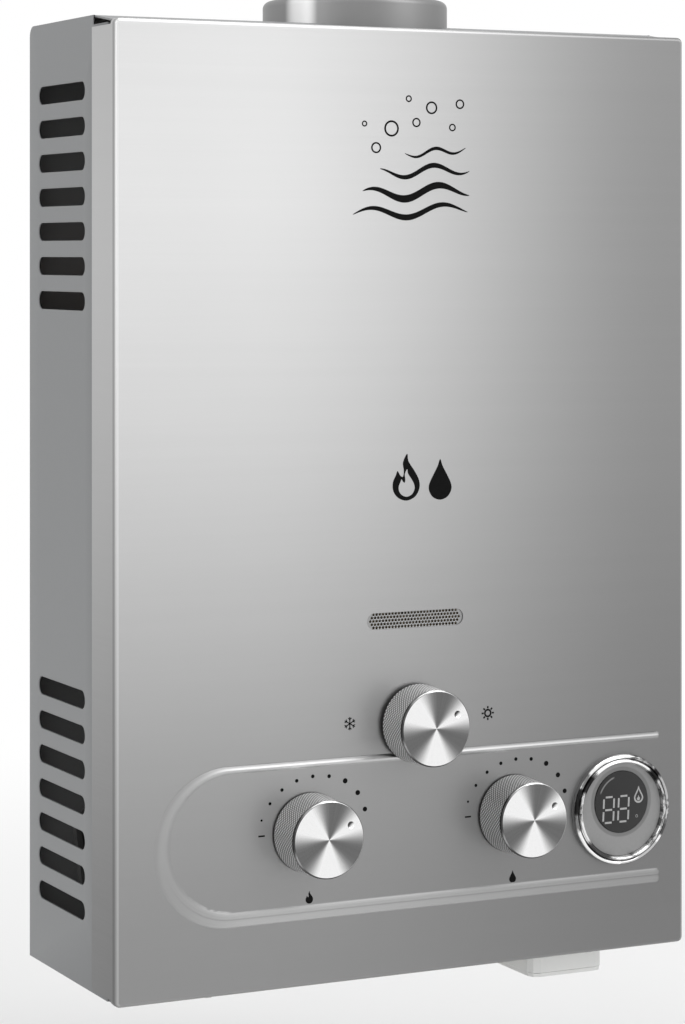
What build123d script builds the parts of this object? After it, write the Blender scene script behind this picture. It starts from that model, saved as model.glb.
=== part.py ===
from build123d import *
import os
from math import cos, pi, radians, sin, tan

# A wall-hung gas water heater, in millimetres, +Z up, with its front facing -Y.
# The origin is the middle of the hanging rail's face, where the heater meets the wall.
# Places are given as x from the centreline, depth behind the cover's face, and height
# above the cover's bottom edge.

# Casing
COVER_WIDTH = 297.0
COVER_HEIGHT = 440.0
CASE_DEPTH = 111.5
RAIL_DEPTH = 14.0
HANG_HEIGHT = 400.0
COVER_SHEET = 0.6
CASE_SHEET = 0.8
RAIL_SHEET = 1.5
COVER_FLANGE = 28.6
COVER_TOP_FLANGE = 6.0
COVER_BOTTOM_FLANGE = 18.0
COVER_BEND = 1.8
COVER_EDGE = 1.0
BODY_TOP = 443.0
BODY_BEND = 5.0
SIDE_STEP = 0.9
SIDE_LIP = 8.0
SIDE_FRONT = 12.0
SHOULDER = 30.0
LIP_FRONT = 3.0
LIP_BACK = 6.4
SCREW_X = 100.0
SCREW_DEPTH = 10.0
KEYHOLE_X = 80.0
LOWER_HOLE_HEIGHT = -8.0
LOWER_HOLE_RADIUS = 3.2

# Side vents
VENT_LENGTH = 59.4
VENT_HEIGHT = 8.3
VENT_DEPTH = 69.6
VENT_PITCH = 16.05
VENT_COUNT = 7
UPPER_VENT_TOP = 409.4
LOWER_VENT_TOP = 131.3
SLOT_STEPS = 4

# Front face
KNOB_SPREAD = 53.3
KNOB_HEIGHT = 70.4
SEASON_X = 1.5
SEASON_HEIGHT = 116.8
SPINDLE_HOLE = 5.0
RIB_OUTER = (-93.8, 66.9, 36.7)
RIB_INNER = (-91.2, 68.7, 30.9)
RIB_RIGHT = 135.0
RIB_CORNER = 1.2
RIB_SLOPE = 1.3
RIB_RISE = 1.3
RIB_STEPS = 12
WINDOW_X = 1.5
WINDOW_HEIGHT = 164.9
WINDOW_SIZE = (50.5, 7.8)
GRILLE_SIZE = (58.0, 14.0)
GRILLE_COLUMNS = 9
GRILLE_PITCH = 5.4
GRILLE_ROW = 2.2
GRILLE_HOLE = 1.6

# Knobs
KNOB_RISE = 21.0
KNOB_GAP = 0.8
SEASON_GAP = 2.1
KNOB_FACE_RADIUS = 17.3
KNOB_BASE_RADIUS = 18.3
KNOB_CAP = 3.4
KNOB_CHAMFER = 0.6
KNURL_COUNT = 20
KNURL_DEPTH = 0.5
POINTER_ANGLE = 31.0
SPINDLE_RADIUS = 3.0
SPINDLE_FLAT = 0.8
SPINDLE_FRONT = -14.0
RUNNING_GAP = 0.05

# Display
DISPLAY_X = 112.3
DISPLAY_HEIGHT = 67.7
BEZEL_RADIUS = 26.6
DISH_RADIUS = 22.2
LENS_RADIUS = 14.8
LENS_RISE = 3.6
DISPLAY_SIDES = 24

# Flue
FLUE_RADIUS = 44.5
FLUE_NECK = 43.6
FLUE_FLANGE = 50.0
FLUE_DEPTH = 60.4
FLUE_RISE = 13.2
FLUE_SHEET = 0.8
FLUE_SIDES = 20

# Burner and heat exchanger
CHAMBER_HALF = 92.0
CHAMBER_DEPTH = (24.0, 92.0)
FRAME_HEIGHT = (124.0, 172.0)
CHAMBER_HEIGHT = (172.0, 300.0)
FIN_HEIGHT = (300.0, 345.0)
FIN_COUNT = 9
FIN_PITCH = 19.0
HOOD_HEIGHT = (345.0, 425.0)
HOOD_HEAD = (120.0, 99.6)
TUBE_RADIUS = 5.5
TUBE_SIDES = 8
TUBE_DEPTHS = (31.0, 49.0, 67.0, 85.0)
TUBE_HEIGHT = 322.5
TUBE_CUT = 6.0
BAR_COUNT = 8
BAR_PITCH = 22.0
NOZZLE_HEIGHT = 134.0
ELECTRODES = (-12.0, 0, 12.0)
ELECTRODE_HEIGHT = 166.0

# Water and gas valves
PORT_DEPTH = 88.0
STUB_BOTTOM = -20.0
STUB_RADIUS = 10.48
VALVE_DEPTH = (56.0, 104.0)
VALVE_HEIGHT = (50.0, 98.0)
ROD_DEPTH = 72.0
ROD_HEIGHT = 74.0
ROD_RADIUS = 3.0
ROD_SIDES = 12
DRAIN_X = 28.0
DRAIN_DEPTH = 66.0

LEVER_X = -4.0
LEVER_DEPTH = 64.0
LEVER_PIN_RADIUS = 0.8
SWITCH_HEIGHT = (68.0, 80.0)

# Battery box
BOX_X = 96.7
BOX_WIDTH = 40.3
BOX_DEPTH = (22.0, 98.0)
BOX_HEIGHT = (-13.0, 54.0)
BOX_WALL = 1.8
BOX_CORNER = 5.0
LID_PIN_HEIGHT = -14.0
LID_PIN_DEPTH = 100.2
LID_PIN_RADIUS = 1.0
CELL_RADIUS = 17.1
CELL_LENGTH = 61.5
CELL_LOW = -11.8

FRONT_Y = -(RAIL_DEPTH + CASE_DEPTH)
BOTTOM_Z = -HANG_HEIGHT
HALF_WIDTH = COVER_WIDTH / 2
SIDE_INNER = HALF_WIDTH - SIDE_STEP - CASE_SHEET
BACK_INNER = CASE_DEPTH - CASE_SHEET
WALL = CASE_DEPTH + RAIL_DEPTH
FLOOR = (COVER_SHEET, COVER_SHEET + CASE_SHEET)
LIP_TOP = COVER_HEIGHT - COVER_SHEET

ALONG = {"x": Vector(1, 0, 0), "y": Vector(0, 1, 0), "z": Vector(0, 0, 1)}
ACROSS = {"x": Vector(0, 1, 0), "y": Vector(1, 0, 0), "z": Vector(1, 0, 0)}


# Places and simple shapes

def at(x, depth, height):
    """A place in the heater's own frame."""
    return Vector(x, FRONT_Y + depth, BOTTOM_Z + height)


def block(x, depth, height):
    """A box between three pairs of limits."""
    sizes = [high - low for low, high in (x, depth, height)]
    middle = [(low + high) / 2 for low, high in (x, depth, height)]
    return Pos(at(*middle)) * Box(*sizes)


def rod(radius, distances, place, along):
    """A round bar along an axis, between two distances from a place."""
    low, high = distances
    plane = Plane(origin=place + ALONG[along] * low, z_dir=ALONG[along])
    return extrude(plane * Circle(radius), high - low)


def slab(outline, depth):
    """A front-view outline, drawn as (x, height), made solid between two depths."""
    plane = Plane(origin=at(0, depth[1], 0), x_dir=(1, 0, 0), z_dir=(0, -1, 0))
    return extrude(plane * outline, depth[1] - depth[0])


def side_slab(outline, x):
    """A side-view outline, drawn as (depth, height), made solid between two values of x."""
    plane = Plane(origin=at(x[0], 0, 0), x_dir=(0, 1, 0), z_dir=(1, 0, 0))
    return extrude(plane * outline, x[1] - x[0])


def plan_slab(outline, height):
    """A plan-view outline, drawn as (x, depth), made solid between two heights."""
    plane = Plane(origin=at(0, 0, height[0]), x_dir=(1, 0, 0), z_dir=(0, 0, 1))
    return extrude(plane * outline, height[1] - height[0])


def joined(pieces):
    """One shape from several."""
    whole = pieces[0]
    for piece in pieces[1:]:
        whole += piece
    return whole


# Flat-sided forms: small or hidden round pieces are drawn with a few flat sides

def flat_sided(loops, ends=True):
    """The solid through a row of loops of corners, with flat faces between each two."""
    faces = [Face(Wire.make_polygon(loop)) for loop in (loops[0], loops[-1])] if ends else []
    for near, far in zip(loops, loops[1:]):
        for step in range(len(near)):
            corners = (near[step - 1], near[step], far[step], far[step - 1])
            faces.append(Face(Wire.make_polygon(corners)))
    return Solid(Shell(faces))


def ring(radius, distance, place, along, sides):
    """The corners of a flat-sided circle, this far along an axis from a place."""
    axis = ALONG[along]
    first = ACROSS[along]
    second = axis.cross(first)
    corners = []
    for step in range(sides):
        angle = 2 * pi * (step + 0.5) / sides
        corners.append(place + axis * distance + (first * cos(angle) + second * sin(angle)) * radius)
    return corners


def peg(profile, place, along, sides):
    """A flat-sided turned piece: its profile holds (radius, distance along the axis)."""
    return flat_sided([ring(*point, place, along, sides) for point in profile])


def hoop(profile, place, along, sides):
    """A flat-sided turned ring: its closed profile holds (radius, distance along the axis)."""
    loops = [ring(*point, place, along, sides) for point in profile]
    return flat_sided(loops + loops[:1], ends=False)


def clear(radius, sides):
    """The corner radius of a flat-sided bore that a round bar of this radius just fits."""
    return radius / cos(pi / sides)


def polygon(x, y, radius, sides):
    """A flat-sided hole that a round bar of this radius just fits."""
    return Pos(x, y) * RegularPolygon(radius, sides, major_radius=False)


def slot(x, y, length, height):
    """A slot with rounded ends."""
    radius = height / 2
    reach = length / 2 - radius
    angles = [pi * (step / SLOT_STEPS - 0.5) for step in range(SLOT_STEPS + 1)]
    right = [(x + reach + radius * cos(angle), y + radius * sin(angle)) for angle in angles]
    left = [(2 * x - px, 2 * y - py) for px, py in right]
    return make_face(Polyline(*right, *left, close=True))


def bent_sheet(corners, bends, sheet, x):
    """A strip bent from one sheet: corners are (depth, height) along its outer side."""
    outer = FilletPolyline(*corners, radius=bends) if bends else Polyline(*corners)
    outline = offset(outer, amount=sheet, side=Side.RIGHT, kind=Kind.INTERSECTION)
    return side_slab(make_face(outline), x)


def routed(points, cut, radius, sides):
    """A tube or wire along straight runs, with each corner cut off once and mitred."""
    corners = [at(*point) for point in points]
    path = corners[:1]
    for before, corner, after in zip(corners, corners[1:], corners[2:]):
        path.append(corner + (before - corner).normalized() * cut)
        path.append(corner + (after - corner).normalized() * cut)
    path.append(corners[-1])
    runs = [(end - start).normalized() for start, end in zip(path, path[1:])]
    section = Plane(origin=path[0], z_dir=runs[0])
    angles = [2 * pi * (step + 0.5) / sides for step in range(sides)]
    loop = [section.from_local_coords((radius * cos(a), radius * sin(a), 0)) for a in angles]
    loops = [loop]
    for place, before, after in zip(path[1:], runs, runs[1:] + runs[-1:]):
        mitre = (before + after).normalized()
        slope = before.dot(mitre)
        loop = [corner + before * ((place - corner).dot(mitre) / slope) for corner in loop]
        loops.append(loop)
    return flat_sided(loops)


# Casing

def vent_outlines():
    """The slots of one side: seven above and seven below."""
    tops = (UPPER_VENT_TOP, LOWER_VENT_TOP)
    heights = [top - row * VENT_PITCH for top in tops for row in range(VENT_COUNT)]
    return [slot(VENT_DEPTH, height, VENT_LENGTH, VENT_HEIGHT) for height in heights]


def side_panel(hand):
    """A side of the casing, with its vents and the stiffening lip along its front edge."""
    lip_top = LIP_TOP - CASE_SHEET
    outline = Polyline(
        (SIDE_FRONT, FLOOR[0]),
        (CASE_DEPTH, FLOOR[0]),
        (CASE_DEPTH, BODY_TOP),
        (COVER_FLANGE + 0.6, BODY_TOP),
        (COVER_FLANGE + 0.6, lip_top),
        (SIDE_FRONT, lip_top),
        close=True,
    )
    face = make_face(outline)
    top_back = face.vertices().sort_by(Axis.X)[-2:].sort_by(Axis.Y)[-1]
    face = fillet(top_back, BODY_BEND)
    for vent in vent_outlines():
        face -= vent
    walls = sorted((hand * SIDE_INNER, hand * (SIDE_INNER + CASE_SHEET)))
    panel = side_slab(face, walls)
    lip = sorted((hand * (SIDE_INNER - SIDE_LIP), hand * SIDE_INNER))
    return panel + block(lip, (SIDE_FRONT, SIDE_FRONT + CASE_SHEET), (FLOOR[1], lip_top))


def back_panel():
    """The back and top in one bent strip, ending in the sloped lip that the cover hangs on."""
    corners = [
        (LIP_FRONT, LIP_TOP),
        (LIP_BACK, LIP_TOP),
        (SHOULDER, BODY_TOP),
        (CASE_DEPTH, BODY_TOP),
        (CASE_DEPTH, FLOOR[1]),
    ]
    strip = bent_sheet(corners, [2.0, 2.0, BODY_BEND], CASE_SHEET, (-SIDE_INNER, SIDE_INNER))
    return strip - plan_slab(polygon(0, FLUE_DEPTH, FLUE_RADIUS + 0.5, FLUE_SIDES), (430, BODY_TOP + 2))


def bottom_plate():
    """The bottom of the casing, with its pipe holes, battery opening and air slots."""
    corners = [
        (BACK_INNER, 16.0),
        (BACK_INNER, FLOOR[0]),
        (SIDE_FRONT - 6.0, FLOOR[0]),
    ]
    plate = bent_sheet(corners, [1.5], CASE_SHEET, (-SIDE_INNER, SIDE_INNER))
    cuts = [
        polygon(-KNOB_SPREAD, PORT_DEPTH, 15.0, 10),
        polygon(KNOB_SPREAD, PORT_DEPTH, 15.0, 10),
        polygon(0, PORT_DEPTH, STUB_RADIUS - 0.3, 12),
        polygon(DRAIN_X, DRAIN_DEPTH, 8.0, 10),
        box_outline(0.3),
    ]
    for row in range(4):
        cuts.append(Pos(-112.0, 36.0 + 16.0 * row) * Rectangle(40.0, 6.0))
        cuts.append(Pos(-8.0, 16.0 + 11.0 * row) * Rectangle(70.0, 5.0))
    for x in (-SCREW_X, SCREW_X):
        cuts.append(polygon(x, SCREW_DEPTH, 1.6, 8))
    for cut in cuts:
        plate -= plan_slab(cut, (FLOOR[0] - 1, FLOOR[1] + 1))
    return plate


def rib_end(low, high, inset):
    """The right-hand end of one run of the rib, with its two corners cut."""
    shift = inset * tan(pi / 8)
    corner = RIB_RIGHT - RIB_CORNER - shift
    tip = RIB_RIGHT - inset
    rise = RIB_CORNER - inset + shift
    return [(corner, low), (tip, low + rise), (tip, high - rise), (corner, high)]


def rib_loop(inset, depth):
    """The rib's outline at one depth: a band round the knobs, open to the right and wider below."""
    outer_x, outer_height, outer = RIB_OUTER
    inner_x, inner_height, inner = RIB_INNER
    outer -= inset
    inner += inset
    turn = [pi * (0.5 + step / RIB_STEPS) for step in range(RIB_STEPS + 1)]
    points = [(outer_x + outer * cos(a), outer_height + outer * sin(a)) for a in turn]
    points += rib_end(outer_height - outer, inner_height - inner, inset)
    points += [(inner_x + inner * cos(a), inner_height + inner * sin(a)) for a in reversed(turn)]
    points += rib_end(inner_height + inner, outer_height + outer, inset)
    return [at(x, depth, height) for x, height in points]


def pressed_rib(depth):
    """The rib as a low bar standing forward from a depth, wide at its foot."""
    return flat_sided([rib_loop(0, depth), rib_loop(RIB_SLOPE, depth - RIB_RISE)])


def pan_block(inset):
    """The cover's outside, or its inside when inset by the sheet."""
    low = inset
    high = COVER_HEIGHT - inset
    back = COVER_FLANGE + 5 * inset
    pan = block((inset - HALF_WIDTH, HALF_WIDTH - inset), (inset, back), (low, high))
    front = pan.faces().sort_by(Axis.Y)[0]
    pan = chamfer(front.edges().filter_by(Axis.X), COVER_EDGE - inset / 2)
    upright = pan.edges().filter_by(Axis.Z).group_by(Axis.Y)[0]
    return fillet(upright, COVER_BEND - inset)


def front_cover():
    """The front: a stainless pan whose flanges slide over the casing."""
    pan = pan_block(0) - pan_block(COVER_SHEET)
    across = (COVER_SHEET - HALF_WIDTH, HALF_WIDTH - COVER_SHEET)
    far = COVER_FLANGE + 5
    pan -= block(across, (COVER_TOP_FLANGE, far), (COVER_HEIGHT - 3, COVER_HEIGHT + 3))
    pan -= block(across, (COVER_BOTTOM_FLANGE, far), (-3, 3))
    pan += pressed_rib(0)
    pan -= pressed_rib(COVER_SHEET)
    for x, z in (GAS, WATER, SEASON):
        pan -= slab(polygon(x, z, SPINDLE_HOLE, 8), (-5, 5))
    dish = clear(DISH_RADIUS + 0.3, DISPLAY_SIDES)
    pan -= peg([(dish, -5), (dish, 5)], at(DISPLAY_X, 0, DISPLAY_HEIGHT), "y", DISPLAY_SIDES)
    pan -= slab(slot(WINDOW_X, WINDOW_HEIGHT, *WINDOW_SIZE), (-5, 5))
    for x in (-SCREW_X, SCREW_X):
        pan -= plan_slab(polygon(x, SCREW_DEPTH, 1.6, 8), (-1, 2))
    return pan


def cover_screws():
    """Two pan-head screws that hold the cover's bottom flange."""
    profile = [(2.4, -2.0), (3.2, 0), (1.5, 0), (1.5, 7.0)]
    return joined([peg(profile, at(x, SCREW_DEPTH, 0), "z", 8) for x in (-SCREW_X, SCREW_X)])


def keyhole(x):
    """A keyhole for a wall screw: a round opening with a narrow slot above it."""
    opening = polygon(x, HANG_HEIGHT - 5.0, 6.0, 12)
    return opening + Pos(x, HANG_HEIGHT) * Rot(0, 0, 90) * slot(0, 0, 16.4, 6.4)


def hanging_rail():
    """The hat-section rail that hangs on two wall screws."""
    front = WALL - RAIL_SHEET
    corners = [
        (CASE_DEPTH, HANG_HEIGHT - 25.0),
        (CASE_DEPTH, HANG_HEIGHT - 13.0),
        (front, HANG_HEIGHT - 13.0),
        (front, HANG_HEIGHT + 13.0),
        (CASE_DEPTH, HANG_HEIGHT + 13.0),
        (CASE_DEPTH, HANG_HEIGHT + 25.0),
    ]
    rail = bent_sheet(corners, [], RAIL_SHEET, (-120.0, 120.0))
    for x in (-KEYHOLE_X, KEYHOLE_X):
        rail -= slab(keyhole(x), (WALL - 4, WALL + 4))
    return rail


def lower_bracket():
    """The bottom bracket: its tab reaches below the casing, where two wall screws hold it."""
    corners = [
        (WALL - RAIL_SHEET, -18.0),
        (WALL - RAIL_SHEET, 28.0),
        (CASE_DEPTH, 28.0),
        (CASE_DEPTH, 40.0),
    ]
    bracket = bent_sheet(corners, [], RAIL_SHEET, (-95.0, 95.0))
    for x in (-KEYHOLE_X, KEYHOLE_X):
        bracket -= rod(LOWER_HOLE_RADIUS, (-4, 4), at(x, WALL, LOWER_HOLE_HEIGHT), "y")
    return bracket


# View window

def window_grille():
    """The perforated insert behind the window slot."""
    sheet = slot(WINDOW_X, WINDOW_HEIGHT, *GRILLE_SIZE)
    hole = Rot(0, 0, 45) * Rectangle(GRILLE_HOLE, GRILLE_HOLE)
    for row in (-1, 0, 1):
        count = GRILLE_COLUMNS - abs(row)
        for column in range(count):
            x = WINDOW_X + (column - (count - 1) / 2) * GRILLE_PITCH
            sheet -= Pos(x, WINDOW_HEIGHT + row * GRILLE_ROW) * hole
    return slab(sheet, (COVER_SHEET, COVER_SHEET + 0.6))


def window_pane():
    """The mica pane behind the grille."""
    return slab(slot(WINDOW_X, WINDOW_HEIGHT, *GRILLE_SIZE), (COVER_SHEET + 0.6, COVER_SHEET + 1.0))


# Knobs and their spindles

def knurl_loop(radius, depth, x, height):
    """The corners of a sleeve's section at one depth: a ring of fine ridges."""
    corners = []
    for step in range(2 * KNURL_COUNT):
        angle = pi * step / KNURL_COUNT
        reach = radius * (1 if step % 2 else 1 - KNURL_DEPTH / KNOB_BASE_RADIUS)
        corners.append(at(x + reach * cos(angle), depth, height + reach * sin(angle)))
    return corners


def knob_sleeve(x, height, gap):
    """A knob's body: a knurled sleeve that narrows towards its face, with a bore for its spindle."""
    loops = [
        knurl_loop(KNOB_BASE_RADIUS, -gap, x, height),
        knurl_loop(KNOB_FACE_RADIUS, KNOB_CAP - KNOB_RISE, x, height),
    ]
    return flat_sided(loops) - spindle_end(x, height)


def knob_cap(x, height):
    """A knob's face: a spun aluminium disc with a bright chamfer and a pointer dimple."""
    face = KNOB_FACE_RADIUS
    profile = [
        (face - KNOB_CHAMFER, -KNOB_RISE),
        (face, KNOB_CHAMFER - KNOB_RISE),
        (face, KNOB_CAP - KNOB_RISE),
    ]
    disc = peg(profile, at(x, 0, height), "y", DISPLAY_SIDES)
    reach = 0.72 * face
    pointer_x = x + reach * cos(radians(POINTER_ANGLE))
    pointer_z = height + reach * sin(radians(POINTER_ANGLE))
    return disc - peg([(1.8, -0.4), (1.0, 0.6)], at(pointer_x, -KNOB_RISE, pointer_z), "y", 8)


def spindle_end(x, height):
    """The end of a spindle that the knob grips: round, with one flat."""
    shaft = peg([(SPINDLE_RADIUS, SPINDLE_FRONT), (SPINDLE_RADIUS, 0)], at(x, 0, height), "y", ROD_SIDES)
    top = height + SPINDLE_RADIUS - SPINDLE_FLAT
    return shaft - block((x - 5, x + 5), (SPINDLE_FRONT - 1, 1), (top, top + 5))


def spindle(x, height, valve_face):
    """A spindle: it runs from the knob through the cover into the valve's bore."""
    profile = [
        (SPINDLE_RADIUS, 0),
        (SPINDLE_RADIUS, valve_face - 2.0),
        (4.6, valve_face - 2.0),
        (4.6, valve_face - 0.4),
    ]
    journal = rod(SPINDLE_RADIUS, (valve_face - 0.4, valve_face + 14.0), at(x, 0, height), "y")
    return spindle_end(x, height) + peg(profile, at(x, 0, height), "y", ROD_SIDES) + journal


def spindle_bore(x, height, depth):
    """The running bore for a spindle, between two depths."""
    radius = clear(SPINDLE_RADIUS + RUNNING_GAP, ROD_SIDES)
    return peg([(radius, depth[0]), (radius, depth[1])], at(x, 0, height), "y", ROD_SIDES)


# Display

def display_bezel():
    """The chrome ring round the display: two rolls with a groove between them."""
    outer = BEZEL_RADIUS
    inner = DISH_RADIUS + 0.1
    profile = [
        (inner, 0),
        (outer, 0),
        (outer, -2.0),
        (outer - 0.9, -3.4),
        (inner + 2.2, -2.6),
        (inner + 1.2, -4.4),
        (inner, -3.2),
    ]
    return hoop(profile, at(DISPLAY_X, 0, DISPLAY_HEIGHT), "y", DISPLAY_SIDES)


def display_housing():
    """The dish inside the ring: it holds the round lens and carries the board behind."""
    centre = at(DISPLAY_X, 0, DISPLAY_HEIGHT)
    dish = peg([(DISH_RADIUS, -1.5), (DISH_RADIUS, 16.0)], centre, "y", DISPLAY_SIDES)
    dish -= peg([(DISH_RADIUS - 1.6, 0.5), (DISH_RADIUS - 1.6, 17.0)], centre, "y", 12)
    seat = clear(LENS_RADIUS + 0.05, DISPLAY_SIDES)
    return dish - peg([(seat, -3), (seat, 2)], centre + Vector(0, 0, LENS_RISE), "y", DISPLAY_SIDES)


def display_lens():
    """The round dark window over the display."""
    profile = [(LENS_RADIUS - 0.4, -1.9), (LENS_RADIUS, -1.5), (LENS_RADIUS, 0.5)]
    return peg(profile, at(DISPLAY_X, 0, DISPLAY_HEIGHT + LENS_RISE), "y", DISPLAY_SIDES)


def display_board():
    """The display's circuit board with its glass panel, seated in the dish."""
    height = DISPLAY_HEIGHT
    board = peg([(19.5, 9.0), (19.5, 10.6)], at(DISPLAY_X, 0, height), "y", 12)
    board += block((DISPLAY_X - 12, DISPLAY_X + 12), (0.6, 9.0), (height - 8, height + 13))
    return board + block((DISPLAY_X - 7, DISPLAY_X + 7), (10.6, 14.0), (height - 12, height - 6))


# Flue and heat exchanger

def flue_collar():
    """The flue outlet: a short round neck with a rolled rim, riveted to the hood."""
    base = HOOD_HEIGHT[1]
    foot = BODY_TOP + 0.5
    top = BODY_TOP + FLUE_RISE
    place = at(0, FLUE_DEPTH, 0)
    flange = [(FLUE_FLANGE, base), (FLUE_FLANGE, base + FLUE_SHEET)]
    neck = [(FLUE_NECK, base + FLUE_SHEET), (FLUE_NECK, foot)]
    rim = [(FLUE_RADIUS - 0.4, top - 1.6), (FLUE_RADIUS - 1.6, top)]
    collar = rod(FLUE_RADIUS, (foot, top - 1.6), place, "z")
    for profile in (flange, neck, rim):
        collar += peg(profile, place, "z", FLUE_SIDES)
    inside = FLUE_NECK - FLUE_SHEET
    return collar - peg([(inside, base - 1), (inside, top + 1)], place, "z", FLUE_SIDES)


def rectangle_loop(width, length, depth, height):
    """The corners of a level rectangle about the centreline."""
    signs = ((-1, -1), (1, -1), (1, 1), (-1, 1))
    return [at(a * width / 2, depth + b * length / 2, height) for a, b in signs]


def hood_block(inset):
    """The hood's outside, or its inside when inset by the sheet."""
    near, far = CHAMBER_DEPTH
    foot = (2 * (CHAMBER_HALF - inset), far - near - 2 * inset, (near + far) / 2, HOOD_HEIGHT[0])
    head = (HOOD_HEAD[0] - 2 * inset, HOOD_HEAD[1] - 2 * inset, FLUE_DEPTH, HOOD_HEIGHT[1])
    return flat_sided([rectangle_loop(*foot), rectangle_loop(*head)])


def draft_hood():
    """The hood that gathers the burnt gas above the fins and leads it to the flue."""
    width, length = HOOD_HEAD
    top = HOOD_HEIGHT[1]
    lid = Pos(0, FLUE_DEPTH) * Rectangle(width, length)
    lid -= polygon(0, FLUE_DEPTH, FLUE_NECK - FLUE_SHEET, FLUE_SIDES)
    return hood_block(0) - hood_block(FLUE_SHEET) + plan_slab(lid, (top - FLUE_SHEET, top))


def fin_pack():
    """The copper fins that the water tubes run through."""
    low, high = FIN_HEIGHT
    pack = block((-CHAMBER_HALF, CHAMBER_HALF), CHAMBER_DEPTH, FIN_HEIGHT)
    for step in range(FIN_COUNT):
        x = (step - (FIN_COUNT - 1) / 2) * FIN_PITCH
        gap = (x - 4.0, x + 4.0)
        pack -= block(gap, (20, 96), (low - 1, low + 13))
        pack -= block(gap, (20, 96), (high - 13, high + 1))
    return pack - exchanger_tubes()


def exchanger_tubes():
    """Four water tubes through the fins, joined by three return bends."""
    left = -CHAMBER_HALF - 4.0
    right = CHAMBER_HALF + 4.0
    first, second, third, fourth = TUBE_DEPTHS
    turns = [
        (left, first),
        (right + 9.0, first),
        (right + 9.0, second),
        (left - 9.0, second),
        (left - 9.0, third),
        (right + 9.0, third),
        (right + 9.0, fourth),
        (left, fourth),
    ]
    points = [(x, depth, TUBE_HEIGHT) for x, depth in turns]
    return routed(points, TUBE_CUT, TUBE_RADIUS, TUBE_SIDES)


def combustion_chamber():
    """The copper box round the flames."""
    shell = block((-CHAMBER_HALF, CHAMBER_HALF), CHAMBER_DEPTH, CHAMBER_HEIGHT)
    near, far = CHAMBER_DEPTH
    return shell - block((1 - CHAMBER_HALF, CHAMBER_HALF - 1), (near + 1, far - 1), (150, 320))


def exchanger_brackets():
    """Two brackets that hold the chamber to the back of the casing."""
    sheet = 1.2
    near = CHAMBER_DEPTH[1]
    outline = Polyline(
        (near, 274.0),
        (near + sheet, 274.0),
        (near + sheet, 286.0 - sheet),
        (BACK_INNER, 286.0 - sheet),
        (BACK_INNER, 298.0),
        (BACK_INNER - sheet, 298.0),
        (BACK_INNER - sheet, 286.0),
        (near, 286.0),
        close=True,
    )
    face = make_face(outline)
    return side_slab(face, (-45.0, -15.0)) + side_slab(face, (15.0, 45.0))


def cold_water_pipe():
    """The copper pipe from the water valve, once round the chamber, to the fins' back tube."""
    side = CHAMBER_HALF + 10.0
    points = [
        (62.0, 101.5, 104.0),
        (62.0, 101.5, 262.0),
        (side, 101.5, 262.0),
        (side, 17.0, 262.0),
        (-side, 17.0, 262.0),
        (-side - 5.0, 85.0, 262.0),
        (-side - 5.0, 85.0, TUBE_HEIGHT),
        (-CHAMBER_HALF - 4.0, 85.0, TUBE_HEIGHT),
    ]
    return routed(points, TUBE_CUT, TUBE_RADIUS, TUBE_SIDES)


def hot_water_pipe():
    """The copper pipe from the fins' front tube down to the hot outlet."""
    points = [
        (-CHAMBER_HALF - 4.0, 31.0, TUBE_HEIGHT),
        (-119.0, 31.0, TUBE_HEIGHT),
        (-119.0, 31.0, 28.0),
        (0, PORT_DEPTH, 28.0),
        (0, PORT_DEPTH, 12.0),
    ]
    return routed(points, TUBE_CUT, TUBE_RADIUS, TUBE_SIDES)


# Burner

def bar_places():
    """The middle of each burner bar across the heater."""
    return [(number - (BAR_COUNT - 1) / 2) * BAR_PITCH for number in range(BAR_COUNT)]


def burner_bars():
    """Eight slotted burner bars, each with its throat at the front."""
    outline = Polyline(
        (27.0, 128.0),
        (42.0, 128.0),
        (56.0, 138.0),
        (90.0, 138.0),
        (90.0, 160.0),
        (27.0, 160.0),
        (27.0, 150.0),
        (40.0, 143.0),
        (27.0, 139.0),
        close=True,
    )
    face = make_face(outline)
    bars = []
    for x in bar_places():
        bar = side_slab(face, (x - 6.0, x + 6.0))
        bars.append(bar - block((x - 3.5, x + 3.5), (32, 86), (156, 161)))
    return joined(bars)


def electrode_pegs(radius, depth):
    """Three flat-sided bars where the spark pins and the flame pin sit."""
    profile = [(radius, depth[0]), (radius, depth[1])]
    return joined([peg(profile, at(x, 0, ELECTRODE_HEIGHT), "y", 6) for x in ELECTRODES])


def burner_frame():
    """The sheet frame that carries the bars and clamps the pins, and closes the chamber below."""
    near, far = CHAMBER_DEPTH
    low = FRAME_HEIGHT[0]
    frame = block((-CHAMBER_HALF, CHAMBER_HALF), CHAMBER_DEPTH, FRAME_HEIGHT)
    frame -= block((1 - CHAMBER_HALF, CHAMBER_HALF - 1), (near + 1, far - 1), (100, 200))
    frame += block((1 - CHAMBER_HALF, CHAMBER_HALF - 1), (62, 70), (low, 128))
    frame += block((-22.0, 22.0), (near - 1.2, near), (158.0, 171.0))
    for x in (-70.0, 10.0):
        frame += block((x, x + 30), (far, BACK_INNER), (low, low + 1.2))
    for x in bar_places():
        frame -= slab(polygon(x, NOZZLE_HEIGHT, 3.1, 6), (near - 1, near + 5))
    return frame - electrode_pegs(2.5, (20, 30))


def gas_manifold():
    """The gas rail in front of the burner: its leg, and a hexagonal brass nozzle for each bar."""
    rail = block((-88.0, 88.0), (9.0, 18.0), (128.5, 139.5))
    rail = chamfer(rail.edges().filter_by(Axis.X), 1.5)
    rail += block((-41.0, -27.0), (9.0, 24.0), (106.0, 128.5))
    nozzles = [slab(polygon(x, NOZZLE_HEIGHT, 3.0, 6), (18.0, 26.8)) for x in bar_places()]
    return joined([rail] + nozzles)


def spark_electrodes():
    """Two spark pins and a flame pin, each in its ceramic sleeve."""
    return electrode_pegs(2.5, (10.0, 30.0)) + electrode_pegs(1.0, (30.0, 46.0))


# Connections and gas side

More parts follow.
